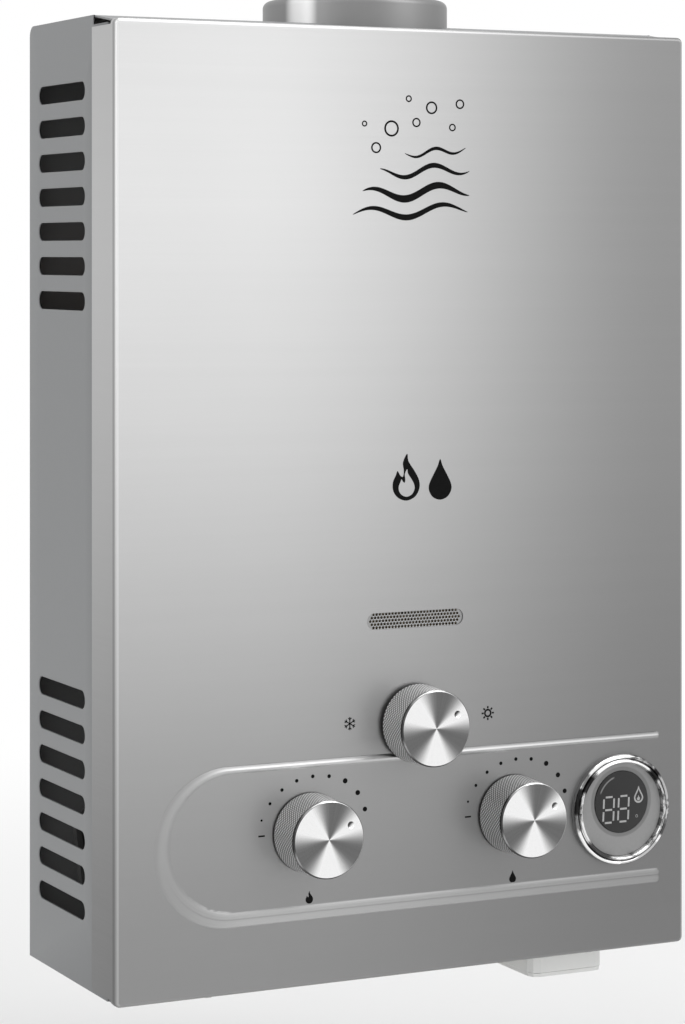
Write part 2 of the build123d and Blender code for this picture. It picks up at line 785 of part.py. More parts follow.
def inlet_fitting(x, top, hexagon_height, bore):
    """A threaded connection: round stub, hexagon and neck, with a bore right up to its valve."""
    place = at(x, PORT_DEPTH, 0)
    neck = STUB_RADIUS - 0.5
    fitting = rod(STUB_RADIUS, (STUB_BOTTOM, -1.0), place, "z")
    fitting += peg([(neck, -1.0), (neck, top)], place, "z", 12)
    fitting += plan_slab(polygon(x, PORT_DEPTH, 12.0, 6), hexagon_height)
    return fitting - plan_slab(polygon(x, PORT_DEPTH, bore, 10), (STUB_BOTTOM - 1, top + 1))


def gas_inlet_fitting():
    """The gas connection, which points down through the bottom plate."""
    return inlet_fitting(-KNOB_SPREAD, 42.0, (-1.0, 8.0), 6.5)


def valve_block(x, spindle_x):
    """A valve's cast block: spindle boss in front and the seat for its connection below."""
    body = block(x, VALVE_DEPTH, VALVE_HEIGHT)
    body = chamfer(body.edges().filter_by(Axis.Y), 3.0)
    near = VALVE_DEPTH[0]
    body += peg([(10.0, near - 12.0), (10.0, near)], at(spindle_x, 0, KNOB_HEIGHT), "y", 12)
    body += plan_slab(polygon(spindle_x, PORT_DEPTH, 13.0, 12), (42.0, VALVE_HEIGHT[0]))
    return body - spindle_bore(spindle_x, KNOB_HEIGHT, (near - 16.0, near + 4.0))


def rod_axis(x):
    """A place on the push rod's axis."""
    return at(x, ROD_DEPTH, ROD_HEIGHT)


def gas_valve_body():
    """The die-cast gas valve, with the push rod's bore to the right."""
    body = valve_block((-80.0, -26.0), -KNOB_SPREAD)
    body += peg([(8.0, -26.0), (8.0, -20.0)], rod_axis(0), "x", 12)
    bore = clear(ROD_RADIUS + RUNNING_GAP, ROD_SIDES)
    return body - peg([(bore, -41.0), (bore, -10.0)], rod_axis(0), "x", ROD_SIDES)


def solenoid_valve():
    """The safety solenoid on the left of the gas valve: a coil between two end plates."""
    profile = [
        (5.0, -30.0),
        (5.0, -26.0),
        (11.0, -26.0),
        (11.0, -4.0),
        (13.0, -4.0),
        (13.0, 0),
    ]
    return peg(profile, at(-80.0, 78.0, 74.0), "x", 10)


def season_valve_body():
    """The season valve: it shuts off part of the burner, and feeds the gas rail."""
    body = block((-44.0, 18.0), (24.0, 64.0), (103.0, 123.5))
    body = chamfer(body.edges().filter_by(Axis.Y), 2.5)
    body += plan_slab(polygon(-34.0, 60.0, 7.0, 12), (98.0, 103.0))
    body += peg([(6.6, 19.0), (6.6, 24.0)], at(SEASON_X, 0, SEASON_HEIGHT), "y", 10)
    return body - spindle_bore(SEASON_X, SEASON_HEIGHT, (15.0, 40.0))


def valve_bracket():
    """The sheet bracket that holds both valves to the back of the casing."""
    plate = block((-76.0, 70.0), (104.0, 105.2), (56.0, 92.0))
    for x in (-70.0, 10.0):
        plate += block((x, x + 24), (105.2, BACK_INNER), (70.0, 78.0))
    return plate


# Water side

def water_inlet_fitting():
    """The cold water connection, which points down through the bottom plate."""
    return inlet_fitting(KNOB_SPREAD, 42.0, (-1.0, 8.0), 7.0)


def hot_outlet_fitting():
    """The hot water connection, nutted to the bottom plate, with its socket for the pipe."""
    return inlet_fitting(0, 20.0, (FLOOR[1], 10.0), TUBE_RADIUS)


def water_valve_body():
    """The brass water valve, with the diaphragm's flange to the left and the pipe's socket behind."""
    body = valve_block((30.0, 72.0), KNOB_SPREAD)
    body += peg([(26.0, 24.0), (26.0, 30.0)], rod_axis(0), "x", ROD_SIDES)
    return body + plan_slab(polygon(62.0, 101.5, 8.0, 12), (96.0, 104.0))


def diaphragm():
    """The rubber diaphragm between the water valve's flange and its cover."""
    return peg([(25.0, 22.5), (25.0, 24.0)], rod_axis(0), "x", ROD_SIDES)


def diaphragm_cover():
    """The dished cover that clamps the diaphragm and guides the push rod."""
    bore = clear(ROD_RADIUS + RUNNING_GAP, ROD_SIDES)
    profile = [
        (bore, 2.0),
        (7.0, 2.0),
        (7.0, 10.0),
        (17.0, 13.5),
        (20.0, 18.0),
        (26.0, 18.0),
        (26.0, 22.5),
        (20.0, 22.5),
        (15.0, 15.8),
        (bore, 15.8),
    ]
    return hoop(profile, rod_axis(0), "x", ROD_SIDES)


def push_rod():
    """The rod that the diaphragm pushes to open the gas valve, with the cone that trips the switch."""
    profile = [
        (ROD_RADIUS, -36.0),
        (ROD_RADIUS, -15.0),
        (6.0, -11.0),
        (6.0, -8.0),
        (ROD_RADIUS, -8.0),
        (ROD_RADIUS, 20.3),
        (12.0, 20.3),
        (12.0, 22.3),
    ]
    return peg(profile, rod_axis(0), "x", ROD_SIDES)


def drain_cock_body():
    """The drain cock's brass neck, on an arm under the water valve."""
    depth = (DRAIN_DEPTH - 6, DRAIN_DEPTH + 6)
    neck = peg([(6.0, -4.0), (6.0, 40.0)], at(DRAIN_X, DRAIN_DEPTH, 0), "z", 12)
    neck += block((DRAIN_X - 6, 46.0), depth, (36.0, 46.0))
    neck += block((34.0, 46.0), depth, (46.0, VALVE_HEIGHT[0]))
    return neck - plan_slab(polygon(DRAIN_X, DRAIN_DEPTH, 3.5, 12), (-6, 30))


def drain_cock_knob():
    """The winged plug that opens the drain cock by a quarter turn."""
    place = at(DRAIN_X, DRAIN_DEPTH, 0)
    plug = peg([(7.5, -9.0), (7.5, -4.3)], place, "z", 12) + rod(3.45, (-4.3, 12.0), place, "z")
    wing = ((DRAIN_X - 9, DRAIN_X + 9), (DRAIN_DEPTH - 2, DRAIN_DEPTH + 2), (-16.0, -9.0))
    return plug + block(*wing)


# Switch and sensors

def micro_switch():
    """The switch that starts ignition when water flows: body, foot, plunger and two lever ears."""
    low, high = SWITCH_HEIGHT
    switch = block((-20.0, 0), (48.0, 60.0), SWITCH_HEIGHT)
    switch += block((-26.0, -20.0), (VALVE_DEPTH[0], 60.0), SWITCH_HEIGHT)
    switch += block((-15.0, -13.0), (60.0, 62.0), (ROD_HEIGHT - 1, ROD_HEIGHT + 1))
    for ear in ((low, low + 2.6), (high - 2.6, high)):
        switch += block((LEVER_X - 2.0, LEVER_X + 2.0), (60.0, LEVER_DEPTH + 1.5), ear)
    bore = clear(LEVER_PIN_RADIUS + RUNNING_GAP, 8)
    return switch - peg([(bore, low - 1), (bore, high + 1)], at(LEVER_X, LEVER_DEPTH, 0), "z", 8)


def switch_lever():
    """The thin lever beside the push rod, on an upright pin: the rod's cone moves its tip."""
    lever = block((-19.0, LEVER_X + 1.5), (LEVER_DEPTH - 0.4, LEVER_DEPTH + 0.4), (71.0, 77.0))
    lever += block((-18.0, -16.0), (LEVER_DEPTH + 0.4, LEVER_DEPTH + 4.5), (73.0, 75.0))
    return lever + rod(LEVER_PIN_RADIUS, SWITCH_HEIGHT, at(LEVER_X, LEVER_DEPTH, 0), "z")


def thermostat():
    """The overheat cut-out: a round can clipped to the side of the chamber."""
    side = CHAMBER_HALF
    can = peg([(8.0, 0.8), (8.0, 8.0)], at(side, 58.0, 284.0), "x", 12)
    can += block((side, side + 0.8), (46.0, 70.0), (281.0, 287.0))
    can += block((side + 8.0, side + 14.0), (54.0, 55.0), (281.0, 287.0))
    return can + block((side + 8.0, side + 14.0), (61.0, 62.0), (281.0, 287.0))


# Electrics

def ignition_controller():
    """The ignition controller: a moulded box on the right wall, with its row of sockets."""
    body = block((122.0, SIDE_INNER), (32.0, 92.0), (170.0, 250.0))
    body = chamfer(body.faces().sort_by(Axis.X)[0].edges(), 2.0)
    for step in range(4):
        low = 178.0 + 17.0 * step
        body += block((118.0, 122.5), (40.0, 50.0), (low, low + 12.0))
    return body


def ignition_leads():
    """The high-tension lead from the controller to the spark pins."""
    points = [
        (118.0, 45.0, 184.0),
        (108.0, 45.0, 184.0),
        (108.0, 8.2, 184.0),
        (12.0, 8.2, 184.0),
        (12.0, 8.2, 168.0),
    ]
    return routed(points, 4.0, 1.8, 6)


def wire_harness():
    """The bundle from the solenoid, round by the left wall, to the battery box."""
    points = [
        (-108.0, 86.0, 74.0),
        (-134.0, 86.0, 74.0),
        (-134.0, 72.0, 30.0),
        (-112.0, 38.0, 14.0),
        (BOX_X - BOX_WIDTH / 2, 38.0, 14.0),
    ]
    return routed(points, 8.0, 2.4, 6)


# Battery box

def box_outline(grow):
    """The battery box in plan, with cut corners, grown all round by this much."""
    near, far = BOX_DEPTH
    half = BOX_WIDTH / 2 + grow
    length = (far - near) / 2 + grow
    corner = BOX_CORNER + grow
    points = []
    for quarter, (a, b) in enumerate(((1, 1), (-1, 1), (-1, -1), (1, -1))):
        for step in range(3):
            angle = pi / 2 * (quarter + step / 2)
            x = BOX_X + a * (half - corner) + corner * cos(angle)
            points.append((x, (near + far) / 2 + b * (length - corner) + corner * sin(angle)))
    return make_face(Polyline(*points, close=True))


def ear_places():
    """Where the two hinge ears of the battery box begin."""
    return (BOX_X - 12.0, BOX_X + 8.0)


def battery_box():
    """The battery box: a moulded well through the bottom plate, open below, with hinge ears."""
    low, high = BOX_HEIGHT
    far = BOX_DEPTH[1]
    box = plan_slab(box_outline(0), BOX_HEIGHT)
    box += plan_slab(box_outline(5.0), (FLOOR[1], FLOOR[1] + 2.0))
    box -= plan_slab(box_outline(-BOX_WALL), (low - 1, high - BOX_WALL))
    for x in ear_places():
        box += block((x, x + 4), (far, far + 4.4), (-16.2, -6.0))
    hole = clear(LID_PIN_RADIUS, 8)
    return box - peg([(hole, -12.0), (hole, 12.0)], at(BOX_X, LID_PIN_DEPTH, LID_PIN_HEIGHT), "x", 8)


def battery_lid():
    """The lid under the battery box, with its hinge knuckle and two catches."""
    near, far = BOX_DEPTH
    lid = plan_slab(box_outline(-0.4), (-15.0, -13.3))
    for x in ear_places():
        lid -= block((x - 0.4, x + 4.4), (far - 1.8, far + 1), (-16, -13))
    place = at(BOX_X, LID_PIN_DEPTH, LID_PIN_HEIGHT)
    lid += peg([(2.0, -7.6), (2.0, 7.6)], place, "x", 8)
    lid += block((BOX_X - 7.6, BOX_X + 7.6), (far - 2, LID_PIN_DEPTH), (-15.0, -13.6))
    for x in (BOX_X - 16.0, BOX_X + 13.0):
        lid += block((x, x + 3), (near + 2.8, near + 4.4), (-13.4, -8.0))
    bore = clear(LID_PIN_RADIUS + RUNNING_GAP, 8)
    return lid - peg([(bore, -9.0), (bore, 9.0)], place, "x", 8)


def lid_pin():
    """The steel hinge pin of the battery lid."""
    return rod(LID_PIN_RADIUS, (-12.0, 12.0), at(BOX_X, LID_PIN_DEPTH, LID_PIN_HEIGHT), "x")


def cell_depths():
    """The two cells stand one behind the other."""
    first = BOX_DEPTH[0] + BOX_WALL + 0.6 + CELL_RADIUS
    return (first, first + 2 * CELL_RADIUS + 0.6)


def battery_cells():
    """Two large round cells, the second one upside down."""
    tip = 1.4
    body = CELL_LENGTH - tip
    upright = [(CELL_RADIUS, 0), (CELL_RADIUS, body), (4.5, body), (4.5, CELL_LENGTH)]
    inverted = [(4.5, 0), (4.5, tip), (CELL_RADIUS, tip), (CELL_RADIUS, CELL_LENGTH)]
    first, second = cell_depths()
    cells = peg(upright, at(BOX_X, first, CELL_LOW), "z", 10)
    return cells + peg(inverted, at(BOX_X, second, CELL_LOW), "z", 10)


def battery_contacts():
    """The metal strips that press on the cells from above."""
    top = BOX_HEIGHT[1] - BOX_WALL
    strips = []
    for depth in cell_depths():
        strips.append(block((BOX_X - 6, BOX_X + 6), (depth - 12, depth + 12), (top - 0.6, top)))
        low = CELL_LOW + CELL_LENGTH
        strips.append(block((BOX_X - 4, BOX_X + 4), (depth - 4, depth + 4), (low, top - 0.6)))
    return joined(strips)


GAS = (-KNOB_SPREAD, KNOB_HEIGHT)
WATER = (KNOB_SPREAD, KNOB_HEIGHT)
SEASON = (SEASON_X, SEASON_HEIGHT)

NODES = {
    "left_side_panel": side_panel(-1),
    "right_side_panel": side_panel(1),
    "back_panel": back_panel(),
    "bottom_plate": bottom_plate(),
    "front_cover": front_cover(),
    "cover_screws": cover_screws(),
    "hanging_rail": hanging_rail(),
    "lower_bracket": lower_bracket(),
    "window_grille": window_grille(),
    "window_pane": window_pane(),
    "gas_knob": knob_sleeve(*GAS, KNOB_GAP),
    "gas_knob_cap": knob_cap(*GAS),
    "gas_spindle": spindle(*GAS, 44.0),
    "water_knob": knob_sleeve(*WATER, KNOB_GAP),
    "water_knob_cap": knob_cap(*WATER),
    "water_spindle": spindle(*WATER, 44.0),
    "season_knob": knob_sleeve(*SEASON, SEASON_GAP),
    "season_knob_cap": knob_cap(*SEASON),
    "season_spindle": spindle(*SEASON, 19.0),
    "display_bezel": display_bezel(),
    "display_housing": display_housing(),
    "display_lens": display_lens(),
    "display_board": display_board(),
    "flue_collar": flue_collar(),
    "draft_hood": draft_hood(),
    "fin_pack": fin_pack(),
    "exchanger_tubes": exchanger_tubes(),
    "combustion_chamber": combustion_chamber(),
    "exchanger_brackets": exchanger_brackets(),
    "cold_water_pipe": cold_water_pipe(),
    "hot_water_pipe": hot_water_pipe(),
    "burner_bars": burner_bars(),
    "burner_frame": burner_frame(),
    "gas_manifold": gas_manifold(),
    "spark_electrodes": spark_electrodes(),
    "gas_inlet_fitting": gas_inlet_fitting(),
    "gas_valve_body": gas_valve_body(),
    "solenoid_valve": solenoid_valve(),
    "season_valve_body": season_valve_body(),
    "valve_bracket": valve_bracket(),
    "water_inlet_fitting": water_inlet_fitting(),
    "hot_outlet_fitting": hot_outlet_fitting(),
    "water_valve_body": water_valve_body(),
    "diaphragm": diaphragm(),
    "diaphragm_cover": diaphragm_cover(),
    "push_rod": push_rod(),
    "drain_cock_body": drain_cock_body(),
    "drain_cock_knob": drain_cock_knob(),
    "micro_switch": micro_switch(),
    "switch_lever": switch_lever(),
    "thermostat": thermostat(),
    "ignition_controller": ignition_controller(),
    "ignition_leads": ignition_leads(),
    "wire_harness": wire_harness(),
    "battery_box": battery_box(),
    "battery_lid": battery_lid(),
    "lid_pin": lid_pin(),
    "battery_cells": battery_cells(),
    "battery_contacts": battery_contacts(),
}

os.makedirs("parts", exist_ok=True)
for name, shape in NODES.items():
    export_step(shape, f"parts/{name}.step")
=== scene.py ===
from math import atan2, cos, pi, radians, sin

import bmesh
import bpy
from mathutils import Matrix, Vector


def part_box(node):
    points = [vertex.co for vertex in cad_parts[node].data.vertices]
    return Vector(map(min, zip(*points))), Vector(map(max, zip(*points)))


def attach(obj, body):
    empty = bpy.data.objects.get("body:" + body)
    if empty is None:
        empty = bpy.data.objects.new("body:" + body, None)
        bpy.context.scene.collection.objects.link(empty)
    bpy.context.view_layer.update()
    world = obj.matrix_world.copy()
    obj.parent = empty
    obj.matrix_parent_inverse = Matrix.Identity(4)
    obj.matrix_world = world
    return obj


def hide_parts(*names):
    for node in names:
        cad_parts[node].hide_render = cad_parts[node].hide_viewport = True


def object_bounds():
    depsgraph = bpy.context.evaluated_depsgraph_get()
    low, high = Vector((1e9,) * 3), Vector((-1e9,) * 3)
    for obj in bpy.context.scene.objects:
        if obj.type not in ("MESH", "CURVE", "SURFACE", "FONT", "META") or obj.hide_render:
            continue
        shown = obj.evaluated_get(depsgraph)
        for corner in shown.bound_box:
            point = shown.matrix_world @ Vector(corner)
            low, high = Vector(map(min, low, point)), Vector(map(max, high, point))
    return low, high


# A wall-hung gas water heater. Lengths inside calls are millimetres: x from the centreline,
# depth behind the cover's face, and height above the cover's bottom edge.

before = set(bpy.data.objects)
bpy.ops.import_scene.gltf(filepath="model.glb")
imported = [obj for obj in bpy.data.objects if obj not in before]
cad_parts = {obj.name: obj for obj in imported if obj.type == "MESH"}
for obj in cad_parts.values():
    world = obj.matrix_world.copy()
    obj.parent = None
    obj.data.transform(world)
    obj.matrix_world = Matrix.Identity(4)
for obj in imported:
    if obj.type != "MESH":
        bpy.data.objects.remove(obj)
cad_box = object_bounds()

# Floor and background
# A plain pale floor, low enough for the battery box's open lid, and white all round it. Away from
# the heater the floor is seen as white too, so that no horizon shows, also in metal and glass.

MM = 0.001
FLOOR_RADIUS = 6.0
FLOOR_FADE = (0.25, 1.2)


class Socket:
    """One output of a shader node."""

    def __init__(self, finish, output):
        self.finish = finish
        self.output = output

    def math(self, operation, *others):
        return self.finish.node("ShaderNodeMath", self, *others, operation=operation)

    def __add__(self, other):
        return self.math("ADD", other)

    def __radd__(self, other):
        return self.math("ADD", other)

    def __sub__(self, other):
        return self.math("SUBTRACT", other)

    def __rsub__(self, other):
        return self.finish.node("ShaderNodeMath", other, self, operation="SUBTRACT")

    def __mul__(self, other):
        return self.math("MULTIPLY", other)

    def __rmul__(self, other):
        return self.math("MULTIPLY", other)

    def __abs__(self):
        return self.math("ABSOLUTE")


class Finish:
    """A material: nodes round one Principled surface, with sums written as arithmetic."""

    def __init__(self, name, **uniform):
        self.material = bpy.data.materials.new(name)
        self.material.use_nodes = True
        self.tree = self.material.node_tree
        self.surface = self.tree.nodes["Principled BSDF"]
        for key, value in uniform.items():
            socket = key.replace("_", " ").title().replace("Ior", "IOR")
            self.surface.inputs[socket].default_value = value
        self.place = self.node("ShaderNodeTexCoord", output="Object")

    def node(self, kind, *inputs, output=0, named=None, **settings):
        """A new node, with its inputs given in order or by name."""
        node = self.tree.nodes.new(kind)
        for key, value in settings.items():
            setattr(node, key, value)
        pairs = list(zip(node.inputs, inputs))
        pairs += [(node.inputs[key], value) for key, value in (named or {}).items()]
        for socket, value in pairs:
            if isinstance(value, Socket):
                self.tree.links.new(value.output, socket)
            else:
                socket.default_value = value
        return Socket(self, node.outputs[output])

    def centred(self, centre=(0, 0, 0), size=(1, 1, 1)):
        """Object coordinates about a place, divided by a size."""
        named = {"Vector": self.place, "Location": centre, "Scale": size}
        return self.node("ShaderNodeMapping", named=named, vector_type="TEXTURE")

    def axes(self, vector):
        """The three parts of a vector."""
        parts = self.node("ShaderNodeSeparateXYZ", vector).output.node.outputs
        return [Socket(self, part) for part in parts]

    def noise(self, vector, scale, detail=3.0, roughness=0.5):
        """Soft noise, about a half on average."""
        named = {"Vector": vector, "Scale": scale, "Detail": detail, "Roughness": roughness}
        return self.node("ShaderNodeTexNoise", named=named)

    def cells(self, vector, scale):
        """Distance to the nearest of scattered points."""
        return self.node("ShaderNodeTexVoronoi", named={"Vector": vector, "Scale": scale})

    def ramp(self, value, low, high):
        """0 below low, 1 above high, and smooth between them."""
        named = {"Value": value, "From Min": low, "From Max": high}
        return self.node("ShaderNodeMapRange", named=named, interpolation_type="SMOOTHSTEP")

    def mix(self, factor, first, second):
        """A colour between two."""
        named = {0: factor, 6: first, 7: second}
        return self.node("ShaderNodeMix", named=named, output=2, data_type="RGBA")

    def put(self, name, value):
        """Joins a socket to one of the surface's inputs."""
        self.tree.links.new(value.output, self.surface.inputs[name])
        return self

    def coat(self, tone, first, second, rough, spread, grain):
        """A colour between two, and a roughness that rises with a grain."""
        self.put("Base Color", self.mix(tone, first, second))
        self.put("Roughness", rough + spread * grain)

    def bump(self, height, distance):
        """Raises the surface by this height, times a distance in millimetres."""
        named = {"Height": height, "Distance": distance * MM}
        return self.put("Normal", self.node("ShaderNodeBump", named=named))


def grey(value):
    """A neutral colour."""
    return (value, value, value, 1.0)


def made(name, bm, finish, sharp=32.0):
    """A new object from a finished mesh."""
    mesh = bpy.data.meshes.new(name)
    bmesh.ops.recalc_face_normals(bm, faces=bm.faces)
    bm.to_mesh(mesh)
    bm.free()
    mesh.polygons.foreach_set("use_smooth", [True] * len(mesh.polygons))
    mesh.set_sharp_from_angle(angle=radians(sharp))
    mesh.materials.append(finish.material)
    thing = bpy.data.objects.new(name, mesh)
    bpy.context.scene.collection.objects.link(thing)
    return thing


floor_finish = Finish("floor_pale", roughness=0.9)
floor_tone = floor_finish.noise(floor_finish.centred(), 3.0)
floor_finish.put("Base Color", floor_finish.mix(floor_tone, grey(0.86), grey(0.9)))
floor_x, floor_y = floor_finish.axes(floor_finish.place)[:2]
floor_reach = (floor_x * floor_x + floor_y * floor_y).math("SQRT")
floor_seen = floor_finish.node("ShaderNodeLightPath", output="Is Camera Ray")
for floor_ray in ("Is Glossy Ray", "Is Transmission Ray"):
    floor_seen = floor_seen + floor_finish.node("ShaderNodeLightPath", output=floor_ray)
floor_share = floor_seen * floor_finish.ramp(floor_reach, *FLOOR_FADE)
floor_white = floor_finish.node("ShaderNodeEmission", grey(1.0), 1.0)
floor_matt = Socket(floor_finish, floor_finish.surface.outputs[0])
floor_both = floor_finish.node("ShaderNodeMixShader", floor_share, floor_matt, floor_white)
floor_end = floor_finish.tree.nodes["Material Output"].inputs["Surface"]
floor_finish.tree.links.new(floor_both.output, floor_end)
floor_mesh = bmesh.new()
bmesh.ops.create_circle(floor_mesh, cap_ends=True, segments=96, radius=FLOOR_RADIUS)
lid_low, lid_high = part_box("battery_lid")
floor_height = cad_box[0][2] - max(lid_high - lid_low)
bmesh.ops.translate(floor_mesh, verts=floor_mesh.verts, vec=(0, 0, floor_height))
made("floor", floor_mesh, floor_finish)

world = bpy.data.worlds.new("studio")
bpy.context.scene.world = world
world.use_nodes = True
sky = world.node_tree
sky_light = sky.nodes["Background"]
sky_seen = sky.nodes.new("ShaderNodeBackground")
sky_choice = sky.nodes.new("ShaderNodeMixShader")
sky_path = sky.nodes.new("ShaderNodeLightPath")
sky_direct = sky.nodes.new("ShaderNodeMath")
sky_through = sky.nodes.new("ShaderNodeMath")
sky_light.inputs["Color"].default_value = grey(1.0)
sky_light.inputs["Strength"].default_value = 0.75
sky_seen.inputs["Color"].default_value = grey(1.0)
sky_seen.inputs["Strength"].default_value = 1.0
sky.links.new(sky_path.outputs["Is Camera Ray"], sky_direct.inputs[0])
sky.links.new(sky_path.outputs["Is Glossy Ray"], sky_direct.inputs[1])
sky.links.new(sky_direct.outputs[0], sky_through.inputs[0])
sky.links.new(sky_path.outputs["Is Transmission Ray"], sky_through.inputs[1])
sky.links.new(sky_through.outputs[0], sky_choice.inputs["Fac"])
sky.links.new(sky_light.outputs[0], sky_choice.inputs[1])
sky.links.new(sky_seen.outputs[0], sky_choice.inputs[2])
sky.links.new(sky_choice.outputs[0], sky.nodes["World Output"].inputs["Surface"])

# Lights and camera
# Three large soft boxes: high on the right, lower on the left, and one above. The camera stands
# where the heater's straight edges put it, seen from the left and square to the floor.

def soft_box(name, place, aim, width, height, power):
    """A rectangular area light turned towards a point."""
    light = bpy.data.lights.new(name, "AREA")
    light.shape = "RECTANGLE"
    light.size = width
    light.size_y = height
    light.energy = power
    lamp = bpy.data.objects.new(name, light)
    lamp.location = place
    lamp.rotation_euler = (Vector(aim) - Vector(place)).to_track_quat("-Z", "Y").to_euler()
    bpy.context.scene.collection.objects.link(lamp)


soft_box("soft_box_right", (1.3, -1.6, 1.2), (0, -0.1, -0.1), 1.4, 1.4, 14.0)
soft_box("soft_box_left", (-1.9, -0.6, 0.7), (0, -0.1, -0.15), 0.9, 1.4, 5.0)
soft_box("soft_box_top", (0.1, -0.5, 1.7), (0, -0.1, 0), 1.2, 0.9, 9.0)

camera = bpy.data.cameras.new("camera")
camera.lens = 105.94
camera.sensor_width = 36.0
camera.sensor_height = 36.0
camera.sensor_fit = "AUTO"
camera.shift_y = -0.2542
camera.clip_start = 0.05
viewer = bpy.data.objects.new("camera", camera)
viewer.location = (-0.64823, -1.36857, -0.06413)
viewer.rotation_euler = (radians(90), 0, radians(-26.208))
bpy.context.scene.collection.objects.link(viewer)
bpy.context.scene.camera = viewer
bpy.context.scene.view_settings.view_transform = "Standard"

# Front cover
# A pan of thin brushed stainless sheet with a pressed rib round the controls. Its flanges slide
# over the casing, and two screws hold its bottom edge.

X_AXIS = Vector((1, 0, 0))
Y_AXIS = Vector((0, 1, 0))
Z_AXIS = Vector((0, 0, 1))
COVER_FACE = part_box("display_bezel")[1].y
COVER_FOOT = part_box("front_cover")[0].z
COVER_WIDTH = 297.0
COVER_HEIGHT = 440.0
COVER_BEND = 1.8
COVER_BEND_STEPS = 6
COVER_CORNER = 2.6
COVER_SHEET = 0.6
COVER_LIP = 6.0
# The corner of the outline where the left, bottom and right flanges start, and their depths
COVER_FLANGES = ((-13, 28.6), (-7, 18.0), (-1, 28.6))
# The rib's outer and inner edges: the centre and radius of their round ends
RIB_OUTER = (-93.8, 66.9, 36.7)
RIB_INNER = (-91.2, 68.7, 30.9)
RIB_RIGHT = 135.0
# Shares of the way from edge to edge, and how far the upper and lower runs stand out there
RIB_ACROSS = (0, 0.06, 0.14, 0.3, 0.46, 0.52, 0.6, 0.75, 0.9, 1)
RIB_UPPER = (0, -0.2, 0.1, 0.6, 0.95, 1.0, 0.95, 0.6, 0.15, 0)
RIB_LOWER = (0, 0.5, 0.8, 0.85, 0.6, 0.45, 0.75, 0.85, 0.35, 0)
# The upper form turns into the lower one from this share of half a turn, over this one
RIB_CHANGE = (0.83, 0.56)
# Each run's right end: distance back from it, share of the full rise, and cut of the corners
RIB_TIP = ((0, 0, 1.2), (0.4, 0.35, 1.2), (0.9, 0.7, 1.2), (1.5, 0.92, 1.2), (3.5, 1, 0))
RIB_SHOULDER = 0.4
RIB_STEPS = 56
SEASON = (1.5, 116.8)
GAS = (-53.3, 70.4)
WATER = (53.3, 70.4)
SPINDLE_HOLE = 5.0
DISPLAY = (112.3, 67.7)
DISPLAY_HOLE = 22.5
WINDOW = (1.5, 164.9)
WINDOW_SLOT = (50.5, 7.8)


def at(x, depth, height):
    """A place on the heater, in metres."""
    return Vector((x * MM, COVER_FACE + depth * MM, COVER_FOOT + height * MM))


def around(centre, reach, turn):
    """A place at a reach and an angle from another, in the front view."""
    return centre[0] + reach * cos(turn), centre[1] + reach * sin(turn)


def circle(x, height, radius, steps=48):
    """Corners of a circle in the front view."""
    return [around((x, height), radius, 2 * pi * step / steps) for step in range(steps)]


def obround(x, height, length, width, steps=12):
    """Corners of a slot with round ends."""
    radius = width / 2
    reach = length / 2 - radius
    turn = [pi * (step / steps - 0.5) for step in range(steps + 1)]
    right = [(x + reach + radius * cos(a), height + radius * sin(a)) for a in turn]
    left = [(2 * x - px, 2 * height - py) for px, py in right]
    return right + left


def rounded(width, height, inset, corner, steps=5):
    """Corners of a rounded rectangle on the centreline, inset all round."""
    half_w = width / 2 - corner
    half_h = height / 2 - corner
    radius = corner - inset
    points = []
    for quarter, (a, b) in enumerate(((1, 1), (-1, 1), (-1, -1), (1, -1))):
        for step in range(steps + 1):
            turn = pi / 2 * (quarter + step / steps)
            centre = (a * half_w, height / 2 + b * half_h)
            points.append(around(centre, radius, turn))
    return points


def ring_of(bm, outline, depth):
    """New vertices along a front-view outline."""
    return [bm.verts.new(at(x, depth, height)) for x, height in outline]


def bridge(bm, near, far):
    """Faces between two rings with the same number of vertices."""
    for step in range(len(near)):
        bm.faces.new((near[step - 1], near[step], far[step], far[step - 1]))


def fill(bm, rings, normal=-Y_AXIS):
    """A flat face inside the first ring, with the others as holes."""
    edges = []
    for ring in rings:
        for step in range(len(ring)):
            edge = bm.edges.get((ring[step - 1], ring[step]))
            edges.append(edge or bm.edges.new((ring[step - 1], ring[step])))
    bmesh.ops.triangle_fill(bm, use_beauty=True, edges=edges, normal=normal)


def thicken(thing, sheet):
    """Gives a sheet its thickness, behind its face, and shades its broad faces flat."""
    solid = thing.modifiers.new("sheet", "SOLIDIFY")
    solid.thickness = sheet * MM
    solid.offset = -1.0
    solid.use_even_offset = True
    weighted = thing.modifiers.new("shading", "WEIGHTED_NORMAL")
    weighted.keep_sharp = True
    weighted.weight = 100


def add(thing, body, slot, *nodes):
    """Lets a new piece ride on a body, in place of CAD nodes; its slot is not used."""
    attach(thing, body)
    if nodes:
        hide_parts(*nodes)


def rib_row(bm, turn, back=None, rise=1.0, cut=0.0):
    """Vertices across the rib, from its outer edge to its inner edge."""
    share = min(1.0, max(0.0, (turn / pi - RIB_CHANGE[0]) / RIB_CHANGE[1]))
    share = share * share * (3 - 2 * share)
    row = []
    for across, upper, lower in zip(RIB_ACROSS, RIB_UPPER, RIB_LOWER):
        x, height, radius = (a + (b - a) * across for a, b in zip(RIB_OUTER, RIB_INNER))
        x, height = around((x, height), radius, turn)
        if back is not None:
            corner = max(0.0, abs(2 * across - 1) - RIB_SHOULDER) / (1 - RIB_SHOULDER)
            x = RIB_RIGHT - back - cut * corner ** 2
        out = (upper + (lower - upper) * share) * rise
        row.append(bm.verts.new(at(x, -out, height)))
    return row
